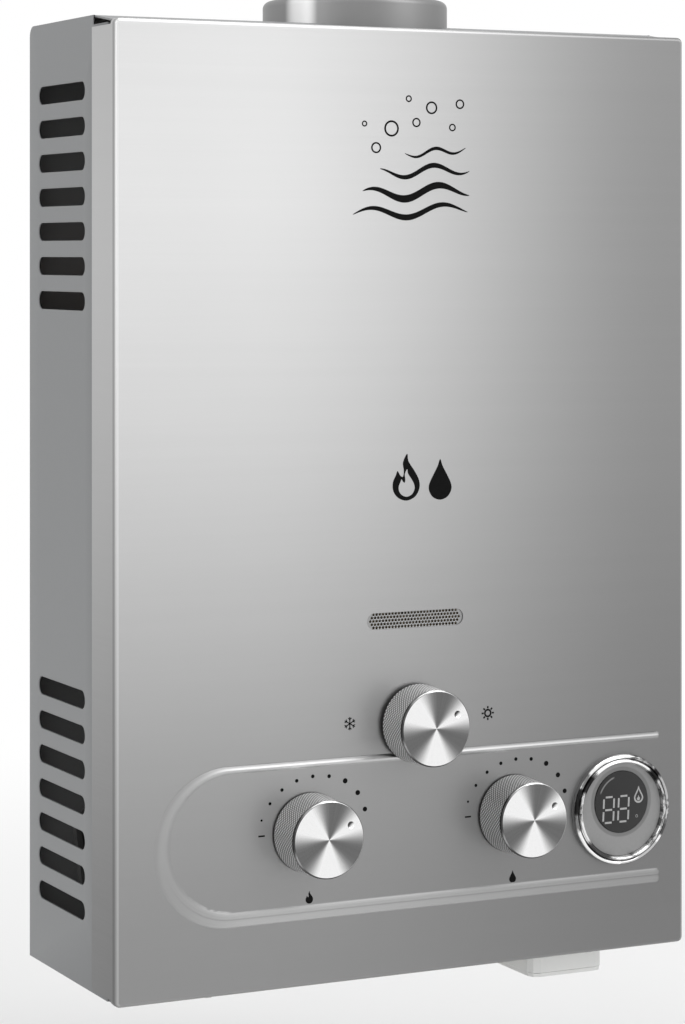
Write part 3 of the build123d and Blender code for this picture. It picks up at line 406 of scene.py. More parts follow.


# The face is painted lighter towards its top left, as painted light. Its folds and a line just
# behind the bend carry painted shade, the rib's slopes are painted darker facing up and lighter
# facing down, the rib carries a painted highlight except round its left end, and a painted
# highlight runs along a fine edge at both sides. The grain, streaks and smudges are the sheet's
# own.
cover_finish = Finish("brushed_stainless", metallic=1.0)
cover_x, cover_y, cover_z = cover_finish.axes(cover_finish.centred(at(0, 0, 0)))
cover_grain = cover_finish.noise(cover_finish.centred(size=(0.2, 0.2, 0.0012)), 1.0, 4.0, 0.6)
cover_streak = cover_finish.noise(cover_finish.centred(size=(0.6, 0.6, 0.008)), 1.0, 2.0)
cover_smudge = cover_finish.noise(cover_finish.centred(), 9.0, 4.0)
# Painted light: the face lighter towards its top and its left, with a painted sheen.
cover_near = 1.0 - cover_finish.ramp(cover_x, -0.09, 0.15)
cover_sheen = (0.075 + 0.425 * cover_finish.ramp(cover_z, 0.0, 0.4)) * cover_near
cover_rise = 0.18 + 0.13 * cover_finish.ramp(cover_z, 0.0, 0.38)
cover_painted_light = (cover_rise + cover_sheen) * (1.14 - 0.7 * cover_z)
# Painted shade on the folds, and a dark painted line just behind the bend.
cover_turned = cover_finish.ramp(cover_y, 0.0005, 0.0016)
cover_line_shade = 1.0 - cover_finish.ramp(abs(cover_y - 0.0026), 0.0005, 0.0016)
cover_fold_shade = 1.0 - 0.32 * cover_turned - 0.22 * cover_line_shade
cover_wear = 0.95 + 0.04 * cover_grain + 0.03 * cover_streak + 0.03 * cover_smudge
# Painted light and shade by facing: slopes facing up a little darker, slopes facing down lighter.
cover_facing = cover_finish.axes(cover_finish.node("ShaderNodeNewGeometry", output="Normal"))[2]
cover_up = 0.15 * cover_facing.math("MAXIMUM", 0.0)
cover_down = 0.5 * cover_facing.math("MINIMUM", 0.0)
cover_slope_shading = 1.0 - (cover_up + cover_down) * (1.0 - cover_turned)
# A painted highlight along the start of the bend at both sides.
cover_crest = cover_finish.ramp(cover_y, 0.00001, 0.00006)
cover_crest = cover_crest * (1.0 - cover_finish.ramp(cover_y, 0.0002, 0.0006))
cover_edge_highlight = 0.12 * cover_crest * cover_finish.ramp(abs(cover_x), 0.146, 0.1468)
# A painted highlight on the raised rib, faint round its left end.
cover_gain = 0.12 + 0.42 * cover_finish.ramp(cover_x, -0.125, -0.08)
cover_rib_highlight = cover_finish.ramp(0.0 - cover_y, 0.0002, 0.0009) * cover_gain
cover_tone = cover_painted_light * cover_fold_shade * cover_wear * cover_slope_shading * (1.0 + cover_rib_highlight) + cover_edge_highlight
cover_finish.put("Base Color", cover_finish.mix(cover_tone, grey(0), grey(1)))
cover_finish.put("Roughness", 0.3 + 0.1 * cover_grain + 0.08 * cover_smudge)
cover_finish.bump(cover_grain, 0.004)

cover_mesh = bmesh.new()
cover_rings = []
for cover_step in range(COVER_BEND_STEPS + 1):
    cover_turn = pi / 2 * cover_step / COVER_BEND_STEPS
    cover_inset = COVER_BEND * (1 - sin(cover_turn))
    cover_outline = rounded(COVER_WIDTH, COVER_HEIGHT, cover_inset, COVER_CORNER)
    cover_rings.append(ring_of(cover_mesh, cover_outline, COVER_BEND * (1 - cos(cover_turn))))
cover_outline = rounded(COVER_WIDTH, COVER_HEIGHT, 0, COVER_CORNER)
cover_rings.append(ring_of(cover_mesh, cover_outline, COVER_LIP))
for cover_ring, cover_next in zip(cover_rings, cover_rings[1:]):
    bridge(cover_mesh, cover_ring, cover_next)
for cover_first, cover_depth in COVER_FLANGES:
    cover_pair = (cover_rings[-1][cover_first], cover_rings[-1][cover_first + 1])
    cover_reach = Y_AXIS * (cover_depth - COVER_LIP) * MM
    cover_ends = [cover_mesh.verts.new(vert.co + cover_reach) for vert in cover_pair]
    cover_mesh.faces.new((*cover_pair, *reversed(cover_ends)))
rib_rows = [rib_row(cover_mesh, pi / 2, *tip) for tip in RIB_TIP]
rib_rows += [rib_row(cover_mesh, pi * (0.5 + step / RIB_STEPS)) for step in range(RIB_STEPS + 1)]
rib_rows += [rib_row(cover_mesh, 1.5 * pi, *tip) for tip in reversed(RIB_TIP)]
for rib_last, rib_next in zip(rib_rows, rib_rows[1:]):
    for rib_quad in zip(rib_last, rib_next, rib_next[1:], rib_last[1:]):
        cover_mesh.faces.new(rib_quad)
rib_edge = [row[0] for row in rib_rows] + rib_rows[-1][1:-1]
rib_edge += [row[-1] for row in reversed(rib_rows)] + rib_rows[0][-2:0:-1]
cover_holes = [circle(*place, SPINDLE_HOLE) for place in (GAS, WATER, SEASON)]
cover_holes += [circle(*DISPLAY, DISPLAY_HOLE, 72), obround(*WINDOW, *WINDOW_SLOT)]
cover_holes = [ring_of(cover_mesh, hole, 0) for hole in cover_holes]
fill(cover_mesh, [cover_rings[0], rib_edge] + cover_holes)
cover = made("cover_panel", cover_mesh, cover_finish, 50.0)
thicken(cover, COVER_SHEET)
add(cover, "casing", "cover_steel", "front_cover")

# View window
# A thin steel insert with five rows of fine round holes, and a clear amber mica pane behind it.

GRILLE_SIZE = (58.0, 14.0)
GRILLE_SHEET = 0.5
GRILLE_COLUMNS = 29
GRILLE_PITCH = 1.66
GRILLE_ROW = 1.55
GRILLE_HOLE = 0.64
GRILLE_REACH = 23.9


def dress(finish, *nodes):
    """Gives CAD nodes a finish."""
    for node in nodes:
        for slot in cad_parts[node].material_slots:
            slot.material = finish.material


grille_finish = Finish("grille_steel", metallic=1.0)
grille_grain = grille_finish.noise(grille_finish.centred(size=(0.03, 0.03, 0.0008)), 1.0, 3.0)
grille_finish.coat(grille_grain, grey(0.26), grey(0.42), 0.34, 0.2, grille_grain)
grille_mesh = bmesh.new()
grille_rings = [ring_of(grille_mesh, obround(*WINDOW, *GRILLE_SIZE), COVER_SHEET)]
for grille_row in range(-2, 3):
    grille_count = GRILLE_COLUMNS - grille_row % 2
    grille_height = WINDOW[1] + grille_row * GRILLE_ROW
    for grille_column in range(grille_count):
        grille_aside = (grille_column - (grille_count - 1) / 2) * GRILLE_PITCH
        if abs(grille_aside) < GRILLE_REACH - 0.75 * abs(grille_row):
            grille_hole = circle(WINDOW[0] + grille_aside, grille_height, GRILLE_HOLE, 12)
            grille_rings.append(ring_of(grille_mesh, grille_hole, COVER_SHEET))
fill(grille_mesh, grille_rings)
grille = made("window_grille_fine", grille_mesh, grille_finish)
thicken(grille, GRILLE_SHEET)
add(grille, "casing", "grille_steel", "window_grille")

mica_finish = Finish("mica_sheet", roughness=0.3, specular_ior_level=0.2, alpha=0.6)
mica_flake = mica_finish.cells(mica_finish.centred(), 260.0)
mica_blend = mica_finish.mix(mica_flake, (0.05, 0.035, 0.02, 1), (0.16, 0.12, 0.07, 1))
mica_finish.put("Base Color", mica_blend)
dress(mica_finish, "window_pane")

# Knobs
# Three turned aluminium knobs: a fine diamond knurl all round the sleeve, and a spun cap with a
# small bevel and a pointer dimple. Each is pushed on a brass spindle. Their tones carry painted
# shade in the knurl's grooves and at the foot, a painted sheen, and painted reflections on the cap.

KNOB_RISE = 21.0
KNOB_SEAM = 17.6
KNOB_BASE = 18.3
KNOB_FACE = 17.3
KNOB_EDGE = 17.05
KNOB_BORE = 3.0
KNOB_TAPER = 0.7
KNOB_CHAMFER = 0.1
KNOB_STEPS = 34
# Profiles of (radius, depth): the band that shows between sleeve and cap, and the cap
KNOB_BAND = ((17.05, -17.62), (17.6, -17.62), (17.59, -18.1), (17.57, -18.6), (17.55, -19.05),
             (17.05, -19.05), (17.05, -17.62))
KNOB_CAP = ((KNOB_EDGE, -KNOB_RISE), (17.35, -20.85), (17.65, -20.5), (17.75, -20.1),
            (17.75, -19.2), (17.6, -19.08), (17.0, -19.08), (17.0, -17.64), (0, -17.64))
# The pointer dimple: its angle, its reach, and its steps of (radius, sink)
POINTER_TURN = radians(28.5)
POINTER_REACH = 0.72 * KNOB_FACE
POINTER = ((1.7, 0), (1.6, 0.12), (1.3, 0.32), (0.9, 0.45), (0.45, 0.52))
KNURL_TEETH = 62
KNURL_LEAD = 1600.0
KNURL_SINK = 0.16
KNURL_START = 0.5


def lathe(profile, centre, axis, steps=96):
    """A turned mesh: its profile holds (radius, distance along the axis)."""
    bm = bmesh.new()
    across = Z_AXIS if axis == X_AXIS else X_AXIS
    verts = [bm.verts.new(centre + axis * (t * MM) + across * (r * MM)) for r, t in profile]
    line = verts + [bm.edges.new(pair) for pair in zip(verts, verts[1:])]
    bmesh.ops.spin(bm, geom=line, cent=centre, axis=axis, angle=2 * pi, steps=steps, use_merge=True)
    bmesh.ops.remove_doubles(bm, verts=bm.verts, dist=1e-6)
    return bm


def polar(finish, centre):
    """The angle and the reach about a place, in the front view."""
    x, _, z = finish.axes(finish.centred(centre))
    return finish.node("ShaderNodeMath", z, x, operation="ARCTAN2"), (x * x + z * z).math("SQRT")


def arc(finish, angle, start, end, soft):
    """1 between two angles in degrees, 0 elsewhere."""
    half = (end - start) / 2
    toward = (angle - radians((start + end) / 2)).math("COSINE")
    return finish.ramp(toward, cos(radians(half + soft)), cos(radians(max(0.4, half - soft))))


def knurled(name, centre, gap):
    """Turned aluminium with a fine diamond knurl, painted shade in its grooves and foot, and a
    painted sheen.
    """
    finish = Finish(name, metallic=1.0)
    depth = finish.axes(finish.centred(centre))[1]
    angle = polar(finish, centre)[0]
    left = abs((angle * (KNURL_TEETH / 2) + depth * KNURL_LEAD).math("SINE"))
    right = abs((angle * (KNURL_TEETH / 2) - depth * KNURL_LEAD).math("SINE"))
    diamond = left * right
    lathe_lines = finish.noise(finish.centred(centre, (1, 0.0002, 1)), 1.0, 2.0)
    sheen = arc(finish, angle, 62, 88, 24) * (1.0 - finish.ramp(depth, -0.019, -0.006))
    foot = finish.ramp(depth, -gap * MM - 0.0006, -gap * MM - 0.0002)
    # Painted shade: grooves darker than the diamonds' tops, nearly black round the foot; a painted
    # sheen at the top near the cap.
    tone = (0.24 + 0.95 * finish.ramp(diamond, 0.12, 0.75) + 0.35 * sheen) * (1.0 - 0.94 * foot)
    finish.coat(tone, grey(0), grey(1), 0.3, 0.12, lathe_lines)
    finish.bump(diamond, 0.03)
    return finish


def spun(name, centre, pointer):
    """A spun face: fine rings, painted reflections in bright and dark rays and on the bevel, and a
    dimple painted with shade and highlight.
    """
    finish = Finish(name, metallic=1.0)
    angle, reach = polar(finish, centre)
    flicker = finish.node("ShaderNodeCombineXYZ", angle * 14.0, 0.0, 0.0)
    flicker = finish.noise(flicker, 1.0, 5.0, 0.7)
    rings = finish.noise(finish.node("ShaderNodeCombineXYZ", reach * 5200.0, 0.0, 0.0), 1.0, 2.0)
    # Painted reflections: dark rays about 77, 207 and 332 degrees, bright between them.
    dark = arc(finish, angle, 52, 102, 22)
    dark = dark + arc(finish, angle, 182, 232, 20) + arc(finish, angle, 307, 357, 20)
    face = 0.88 - 0.75 * dark + 0.1 * (flicker - 0.5) + 0.14 * (rings - 0.5)
    # Painted reflections on the bevel: dark at the left and lower left, a glint at the top.
    bevel = 0.32 - 0.28 * arc(finish, angle, 138, 196, 8)
    bevel = bevel - 0.26 * arc(finish, angle, 222, 285, 12)
    bevel = bevel + 0.55 * arc(finish, angle, 80, 100, 8)
    on_bevel = finish.ramp(reach, (KNOB_EDGE - 0.03) * MM, (KNOB_EDGE + 0.07) * MM)
    hollow_size = (POINTER[0][0] * MM,) * 3
    hollow_x, _, hollow_z = finish.axes(finish.centred(pointer, hollow_size))
    hollow_reach = (hollow_x * hollow_x + hollow_z * hollow_z).math("SQRT")
    hollow = 1.0 - finish.ramp(hollow_reach, 0.93, 1.03)
    # Painted shade and highlight in the dimple: dark to the upper left, bright to the lower right.
    bowl_shading = 0.05 + 0.9 * finish.ramp(hollow_x - hollow_z, -0.5, 0.9)
    tone = face + (bevel - face) * on_bevel
    tone = tone + (bowl_shading - tone) * hollow
    finish.coat(tone, grey(0.02), grey(1), 0.18, 0.1, rings)
    finish.bump(rings, 0.004)
    return finish


def rolled(profile, centre, foot):
    """A turned sleeve with the knurl pressed into its outer wall."""
    bm = lathe(profile, centre, Y_AXIS, 4 * KNURL_TEETH)
    for vert in bm.verts:
        arm = vert.co - centre
        depth = arm.y
        arm.y = 0
        if arm.length > KNOB_FACE * MM and depth < (foot - KNURL_START) * MM:
            angle = atan2(arm.z, arm.x) * KNURL_TEETH / 2
            diamond = abs(sin(angle + depth * KNURL_LEAD) * sin(angle - depth * KNURL_LEAD))
            vert.co -= arm.normalized() * (KNURL_SINK * (1 - diamond) * MM)
    return bm


def knob(name, place, gap, body):
    """One knob, its cap and their finishes, with a gap between the sleeve and the cover."""
    centre = at(place[0], 0, place[1])
    grip = knurled(name + "_knurled", centre, gap)
    foot = gap + KNOB_CHAMFER
    sleeve = [(KNOB_BORE, -gap), (KNOB_BASE - KNOB_CHAMFER, -gap)]
    for step in range(KNOB_STEPS + 1):
        share = step / KNOB_STEPS
        sleeve.append((KNOB_BASE - KNOB_TAPER * share, (foot - KNOB_SEAM) * share - foot))
    sleeve += [(KNOB_BORE, -KNOB_SEAM), (KNOB_BORE, -gap)]
    sleeve_piece = made(name + "_sleeve", rolled(sleeve, centre, -gap), grip, 60.0)
    add(sleeve_piece, body, "knob_sleeve", name)
    band_piece = made(name + "_band", rolled(KNOB_BAND, centre, -gap), grip, 60.0)
    add(band_piece, body, "knob_sleeve")
    mark = around(place, POINTER_REACH, POINTER_TURN)
    cap_mesh = lathe(KNOB_CAP, centre, Y_AXIS, 128)
    hollows = [ring_of(cap_mesh, circle(*mark, radius, 32), sink - KNOB_RISE)
               for radius, sink in POINTER]
    for hollow, hollow_next in zip(hollows, hollows[1:]):
        bridge(cap_mesh, hollow, hollow_next)
    cap_mesh.faces.new(hollows[-1])
    face_edge = ring_of(cap_mesh, circle(*place, KNOB_EDGE, 128), -KNOB_RISE)
    fill(cap_mesh, [face_edge, hollows[0]])
    bmesh.ops.remove_doubles(cap_mesh, verts=cap_mesh.verts, dist=1e-6)
    cap_finish = spun(name + "_spun", centre, at(mark[0], 0, mark[1]))
    cap_piece = made(name + "_spun_cap", cap_mesh, cap_finish, 20.0)
    add(cap_piece, body, "knob_face", name + "_cap")


knob("gas_knob", GAS, 0.8, "gas_control")
knob("water_knob", WATER, 0.8, "water_control")
knob("season_knob", SEASON, 2.1, "season_control")

# Display
# A polished chrome ring of two rolls round a satin grey dish, with a round dark window for two
# figures, a flame sign and a degree ring. The ring's tones are painted reflections of a bright and
# dark room, with painted shade in the groove between its rolls.

# Arcs of painted reflection, each (start, end, tone), in degrees, on the ring's outer and inner
# roll
CHROME_OUTER_REFLECTIONS = ((80, 135, 0.95), (200, 268, 1.0), (268, 318, 0.55), (318, 327, 1.0), (36, 46, 0.0),
                (153, 181, 0.0), (138, 151, 0.2), (184, 196, 0.2), (327, 341, 0.07), (8, 33, 0.5))
CHROME_INNER_REFLECTIONS = ((52, 128, 1.0), (189, 214, 0.9), (262, 280, 0.85), (290, 306, 0.95),
                (134, 156, 0.0), (34, 50, 0.0), (218, 250, 0.06))
CHROME_PROFILE = ((22.3, 0), (26.5, 0), (26.6, -0.2), (26.6, -1.9), (26.4, -2.6), (25.9, -3.2),
                  (25.5, -3.38), (25.0, -3.2), (24.6, -2.75), (24.45, -2.62), (24.25, -2.9),
                  (23.9, -3.8), (23.5, -4.35), (23.1, -4.38), (22.7, -3.95), (22.4, -3.3),
                  (22.3, -3.0), (22.3, 0))
LENS = (DISPLAY[0], DISPLAY[1] + 3.6)
LENS_PROFILE = ((0, -1.9), (14.3, -1.9), (14.62, -1.8), (14.8, -1.55), (14.8, 0.5), (0, 0.5))
DISH_OUTER = 22.2
DISH_INNER = 20.6
DISH_SEAT = 15.0
DISH_WELL = 14.85
DISH_FRONT = -1.5
DISH_FLOOR = 0.5
DISH_BACK = 16.0


def toned(finish, angle, ground, arcs, soft):
    """A tone with arcs of other tones laid over it, the later over the earlier."""
    for start, end, tone in arcs:
        ground = ground + (tone - ground) * arc(finish, angle, start, end, soft)
    return ground


chrome_centre = at(DISPLAY[0], 0, DISPLAY[1])
chrome_finish = Finish("bezel_chrome", metallic=1.0)
chrome_angle, chrome_reach = polar(chrome_finish, chrome_centre)
chrome_polar = (chrome_angle * 6.0, chrome_reach * 900.0, 0.0)
chrome_polar = chrome_finish.node("ShaderNodeCombineXYZ", *chrome_polar)
chrome_glint = chrome_finish.noise(chrome_polar, 1.0, 3.0, 0.65)
# Painted reflections: glints from noise on each roll, then arcs of light and dark laid over them.
chrome_outer_reflection = 0.14 + 0.5 * chrome_finish.ramp(chrome_glint, 0.45, 0.6)
chrome_inner_reflection = 0.16 + 0.5 * chrome_finish.ramp(chrome_glint, 0.42, 0.58)
chrome_outer_reflection = toned(chrome_finish, chrome_angle, chrome_outer_reflection, CHROME_OUTER_REFLECTIONS, 2.0)
chrome_inner_reflection = toned(chrome_finish, chrome_angle, chrome_inner_reflection, CHROME_INNER_REFLECTIONS, 2.5)
chrome_roll = chrome_finish.ramp(chrome_reach, 0.0244, 0.0246)
# Painted shade in the groove between the rolls.
chrome_groove_shade = 1.0 - chrome_finish.ramp(abs(chrome_reach - 0.0245), 0.0001, 0.0004)
chrome_tone = chrome_inner_reflection + (chrome_outer_reflection - chrome_inner_reflection) * chrome_roll
chrome_tone = chrome_tone * (1.0 - 0.8 * chrome_groove_shade)
chrome_rim = chrome_finish.ramp(chrome_reach, 0.02646, 0.02656)
chrome_tone = chrome_tone + (0.4 - chrome_tone) * chrome_rim
chrome_finish.coat(chrome_tone, grey(0.02), grey(0.97), 0.06, 0.08, chrome_glint)
chrome_finish.bump(chrome_glint, 0.02)
chrome_mesh = lathe(CHROME_PROFILE, chrome_centre, Y_AXIS, 144)
chrome_piece = made("display_ring", chrome_mesh, chrome_finish, 60.0)
add(chrome_piece, "casing", "bezel_chrome", "display_bezel")

lens_centre = at(LENS[0], 0, LENS[1])
dish_finish = Finish("dish_plastic", coat_weight=0.25, coat_roughness=0.2)
dish_grain = dish_finish.noise(dish_finish.centred(), 700.0, 2.0)
dish_reach = polar(dish_finish, lens_centre)[1]
dish_tone = 0.75 * (1.0 - dish_finish.ramp(dish_reach, 0.0164, 0.0172)) + 0.25 * dish_grain
dish_finish.coat(dish_tone, grey(0.27), grey(0.15), 0.32, 0.1, dish_grain)
dish_finish.bump(dish_grain, 0.004)
dish_mesh = bmesh.new()
dish_edge = ring_of(dish_mesh, circle(*DISPLAY, DISH_OUTER, 96), DISH_FRONT)
dish_seat = ring_of(dish_mesh, circle(*LENS, DISH_SEAT, 72), DISH_FRONT)
dish_well = ring_of(dish_mesh, circle(*LENS, DISH_WELL, 72), DISH_FLOOR)
dish_back = ring_of(dish_mesh, circle(*DISPLAY, DISH_OUTER, 96), DISH_BACK)
dish_wall = ring_of(dish_mesh, circle(*DISPLAY, DISH_INNER, 96), DISH_BACK)
dish_floor = ring_of(dish_mesh, circle(*DISPLAY, DISH_INNER, 96), DISH_FLOOR)
fill(dish_mesh, [dish_edge, dish_seat])
bridge(dish_mesh, dish_seat, dish_well)
fill(dish_mesh, [dish_floor, dish_well])
for dish_pair in ((dish_edge, dish_back), (dish_back, dish_wall), (dish_wall, dish_floor)):
    bridge(dish_mesh, *dish_pair)
dish_piece = made("display_dish", dish_mesh, dish_finish)
add(dish_piece, "casing", "display_plastic", "display_housing")

lens_finish = Finish("display_window", roughness=0.12, coat_weight=0.3, coat_roughness=0.05,
                     specular_ior_level=0.3)
lens_haze = lens_finish.noise(lens_finish.centred(), 60.0)
lens_angle, lens_reach = polar(lens_finish, lens_centre)
lens_line = 1.0 - lens_finish.ramp(abs(lens_reach - 0.0126), 0.0002, 0.0005)
lens_glint = arc(lens_finish, lens_angle, 110, 157, 4.0) * lens_line
lens_blend = lens_finish.mix(lens_haze, grey(0.008), grey(0.016))
lens_finish.put("Base Color", lens_finish.mix(lens_glint * 0.75, lens_blend, grey(0.25)))
lens_piece = made("display_window", lathe(LENS_PROFILE, lens_centre, Y_AXIS), lens_finish)
add(lens_piece, "casing", "display_glass", "display_lens")

# The signs' outlines, in shares of their height
FLAME = ((0.03, 0.5), (0.06, 0.34), (0.2, 0.14), (0.31, -0.06), (0.32, -0.24), (0.22, -0.41),
         (0.02, -0.49), (-0.18, -0.43), (-0.3, -0.28), (-0.31, -0.1), (-0.24, 0.05), (-0.2, 0.14),
         (-0.13, 0.04), (-0.07, 0.02), (-0.05, 0.14), (-0.07, 0.32))
DROP = ((0, 0.5), (0.07, 0.33), (0.2, 0.1), (0.3, -0.1), (0.31, -0.26), (0.2, -0.43), (0, -0.5),
        (-0.2, -0.43), (-0.31, -0.26), (-0.3, -0.1), (-0.2, 0.1), (-0.07, 0.33))
FIGURES = (DISPLAY[0] - 7.2, DISPLAY[0] + 1.07)
FIGURE_MIDDLE = DISPLAY[1] + 0.2
FIGURE_LEAN = 0.045
FIGURE_STROKE = 0.92
# Strokes of a figure with all seven lit, about its middle
FIGURE_BARS = [(-1.9, rise, 1.9, rise) for rise in (-6.12, 0, 6.12)]
FIGURE_BARS += [(side, low, side, low + 4.5) for side in (-2.83, 2.83) for low in (-5.3, 0.8)]
DISPLAY_FLAME = (DISPLAY[0] + 9.6, DISPLAY[1] + 6.4)
DEGREE = (DISPLAY[0] + 8.5, DISPLAY[1] - 3.9)


def bar(x0, z0, x1, z1, width):
    """Corners of a straight stroke with square ends."""
    aside = Vector((x1 - x0, z1 - z0)).normalized() * (width / 2)
    near = [(x0 + aside.y, z0 - aside.x), (x1 + aside.y, z1 - aside.x)]
    far = [(x1 - aside.y, z1 + aside.x), (x0 - aside.y, z0 + aside.x)]
    return near + far


def curve(points, steps=4):
    """A closed smooth outline through points."""
    outline = []
    for number in range(len(points)):
        shifts = (-1, 0, 1, 2)
        a, b, c, d = (Vector(points[(number + shift) % len(points)]) for shift in shifts)
        bend = 2 * a - 5 * b + 4 * c - d
        twist = 3 * b - a - 3 * c + d
        for step in range(steps):
            t = step / steps
            place = b + t * (c - a) / 2 + t * t * bend / 2 + t * t * t * twist / 2
            outline.append((place.x, place.y))
    return outline


def sign(outline, x, height, size):
    """A smooth outline at a place, to a size."""
    return curve([(x + size * px, height + size * pz) for px, pz in outline])


def plates(shapes, front, back):
    """Thin flat plates on the front: each shape is an outline and its holes."""
    bm = bmesh.new()
    for shape in shapes:
        fill(bm, [ring_of(bm, outline, front) for outline in shape])
    grown = bmesh.ops.extrude_face_region(bm, geom=bm.faces[:])["geom"]
    moved = [item for item in grown if isinstance(item, bmesh.types.BMVert)]
    bmesh.ops.translate(bm, verts=moved, vec=Y_AXIS * (back - front) * MM)
    return bm


figure_finish = Finish("display_figures", roughness=0.4, emission_strength=0.1)
figure_glow = figure_finish.noise(figure_finish.centred(), 400.0)
figure_finish.put("Base Color", figure_finish.mix(figure_glow, grey(0.24), grey(0.36)))
figure_finish.put("Emission Color", figure_finish.mix(figure_glow, grey(0.5), grey(0.8)))
figure_shapes = []
for figure_x in FIGURES:
    for x0, z0, x1, z1 in FIGURE_BARS:
        figure_start = (figure_x + x0 + FIGURE_LEAN * z0, FIGURE_MIDDLE + z0)
        figure_end = (figure_x + x1 + FIGURE_LEAN * z1, FIGURE_MIDDLE + z1)
        figure_shapes.append([bar(*figure_start, *figure_end, FIGURE_STROKE)])
figure_drop = sign(DROP, DISPLAY_FLAME[0], DISPLAY_FLAME[1] - 0.35, 5.7)
figure_shapes.append([sign(DROP, *DISPLAY_FLAME, 8.2), figure_drop])
figure_shapes.append([sign(FLAME, DISPLAY_FLAME[0] - 0.1, DISPLAY_FLAME[1] - 1.6, 2.6)])
figure_shapes.append([circle(*DEGREE, 0.7, 24), circle(*DEGREE, 0.5, 24)])
figure_piece = made("display_figures", plates(figure_shapes, -1.94, -1.89), figure_finish)
add(figure_piece, "casing", "display_glass")

# Printed marks
# Black ink on the cover: nine growing dots round each lower knob with a minus and a plus, a
# snowflake and a sun beside the upper knob, a flame, a drop, and waves with bubbles high up.

INK_FRONT = -0.05
INK_BACK = -0.005
# Each dot's reach from the knob and its radius, the first low on the left
DOTS = ((27.6, 0.55), (27.2, 0.74), (27.0, 0.82), (26.8, 0.85), (26.8, 0.86), (27.4, 0.9),
        (28.5, 1.2), (28.6, 1.18), (28.0, 1.12))
DOTS_ASIDE = 2.2
DOTS_HEIGHT = 69.0
DOTS_START = 161.6
DOTS_STEP = 17.675
# The strokes of the minus and the plus, about each lower knob
SIGN_BARS = ((-25.6, 0.2, -22.4, 0.2), (21.2, 0.2, 24.4, 0.2), (22.8, -1.4, 22.8, 1.8))
SIGN_STROKE = 0.75
SNOW = (-32.6, 118.6)
SUN = (39.9, 118.6)
# Ribbons of (x, height, length, swing, width, start of the wave), and rings of (x, height, radius)
WAVES = ((-31, 353, 60, 2.6, 2.6, 0.0), (-26, 362, 56, 2.8, 3.4, 0.12),
         (-17, 372, 47, 2.4, 2.2, 0.3), (-4, 381, 32, 1.6, 1.4, 0.45))
BUBBLES = ((-19, 384, 2.6), (-11, 393, 3.8), (2, 396, 2.2), (10, 403, 3.0), (21, 394, 1.8),
           (-2, 407, 1.6), (25, 405, 2.3), (-25, 395, 1.4))
WAVE_TURNS = 1.6
WAVE_RISE = 3.0
WAVE_TIP = 0.12


def wave(x, height, length, swing, width, shift, steps=48):
    """Corners of a wavy ribbon that narrows towards both ends."""
    sides = []
    for side in (1, -1):
        edge = []
        for step in range(steps + 1):
            share = step / steps
            sway = swing * sin(2 * pi * (WAVE_TURNS * share + shift))
            half = WAVE_TIP + width / 2 * sin(pi * share) ** 0.7
            edge.append((x + length * share, height + sway + WAVE_RISE * share + side * half))
        sides.append(edge)
    return sides[0] + sides[1][::-1]


ink_finish = Finish("black_ink", roughness=0.6, specular_ior_level=0.04)
ink_tone = ink_finish.noise(ink_finish.centred(), 500.0)
ink_finish.put("Base Color", ink_finish.mix(ink_tone, grey(0.004), grey(0.009)))
ink_shapes = []
for ink_x, ink_z in (GAS, WATER):
    for ink_step, (ink_reach, ink_size) in enumerate(DOTS):
        ink_turn = radians(DOTS_START - DOTS_STEP * ink_step)
        ink_place = around((ink_x + DOTS_ASIDE, DOTS_HEIGHT), ink_reach, ink_turn)
        ink_shapes.append([circle(*ink_place, ink_size, 24)])
    for x0, z0, x1, z1 in SIGN_BARS:
        ink_shapes.append([bar(ink_x + x0, ink_z + z0, ink_x + x1, ink_z + z1, SIGN_STROKE)])
ink_shapes.append([sign(FLAME, GAS[0], 40.6, 5.8)])
ink_shapes.append([sign(DROP, WATER[0], 40.4, 5.8)])
for ink_step in range(6):
    ink_turn = pi / 3 * ink_step + pi / 6
    ink_fork = around(SNOW, 1.8, ink_turn)
    ink_shapes.append([bar(*SNOW, *around(SNOW, 3.0, ink_turn), 0.5)])
    for ink_lean in (-0.8, 0.8):
        ink_arm = around(ink_fork, 1.2, ink_turn + ink_lean)
        ink_shapes.append([bar(*ink_fork, *ink_arm, 0.42)])
for ink_step in range(8):
    ink_turn = pi / 4 * ink_step
    ink_shapes.append([bar(*around(SUN, 2.2, ink_turn), *around(SUN, 3.3, ink_turn), 0.8)])
ink_shapes.append([circle(*SUN, 2.0, 32), circle(*SUN, 1.15, 32)])
ink_shapes.append([sign(FLAME, -3.5, 231.0, 22.0), sign(FLAME, -3.2, 228.4, 13.0)])
ink_shapes.append([sign(DROP, 14.5, 229.5, 19.0)])
for ink_wave in WAVES:
    ink_shapes.append([wave(*ink_wave)])
for ink_x, ink_z, ink_size in BUBBLES:
    ink_inner = ink_size - 0.45 - 0.12 * ink_size
    ink_shapes.append([circle(ink_x, ink_z, ink_size, 36), circle(ink_x, ink_z, ink_inner, 36)])
ink_piece = made("printed_marks", plates(ink_shapes, INK_FRONT, INK_BACK), ink_finish)
add(ink_piece, "casing", "black_plastic")

# Casing sides
# Grey painted sheet, pierced by two groups of seven slots whose edges are rolled inwards. Each
# side has a narrow lip along its front edge, behind the cover's flange.

CASE_SHEET = 0.8
SIDE_OUTER = 147.6
SIDE_FRONT = 12.0
SIDE_BACK = 111.5
SIDE_FOOT = 0.6
SIDE_TOP = 443.0
SIDE_CORNER = 5
SIDE_LIP = 8.8
# The step in the side's front edge, above the cover's flange: its depth and height
SIDE_NOTCH = (29.2, 438.6)
SLOT_HEIGHTS = [top - 16.05 * row for top in (409.4, 131.3) for row in range(7)]
SLOT_DEPTH = 69.6
SLOT_LENGTH = 59.4
SLOT_WIDTH = 8.3
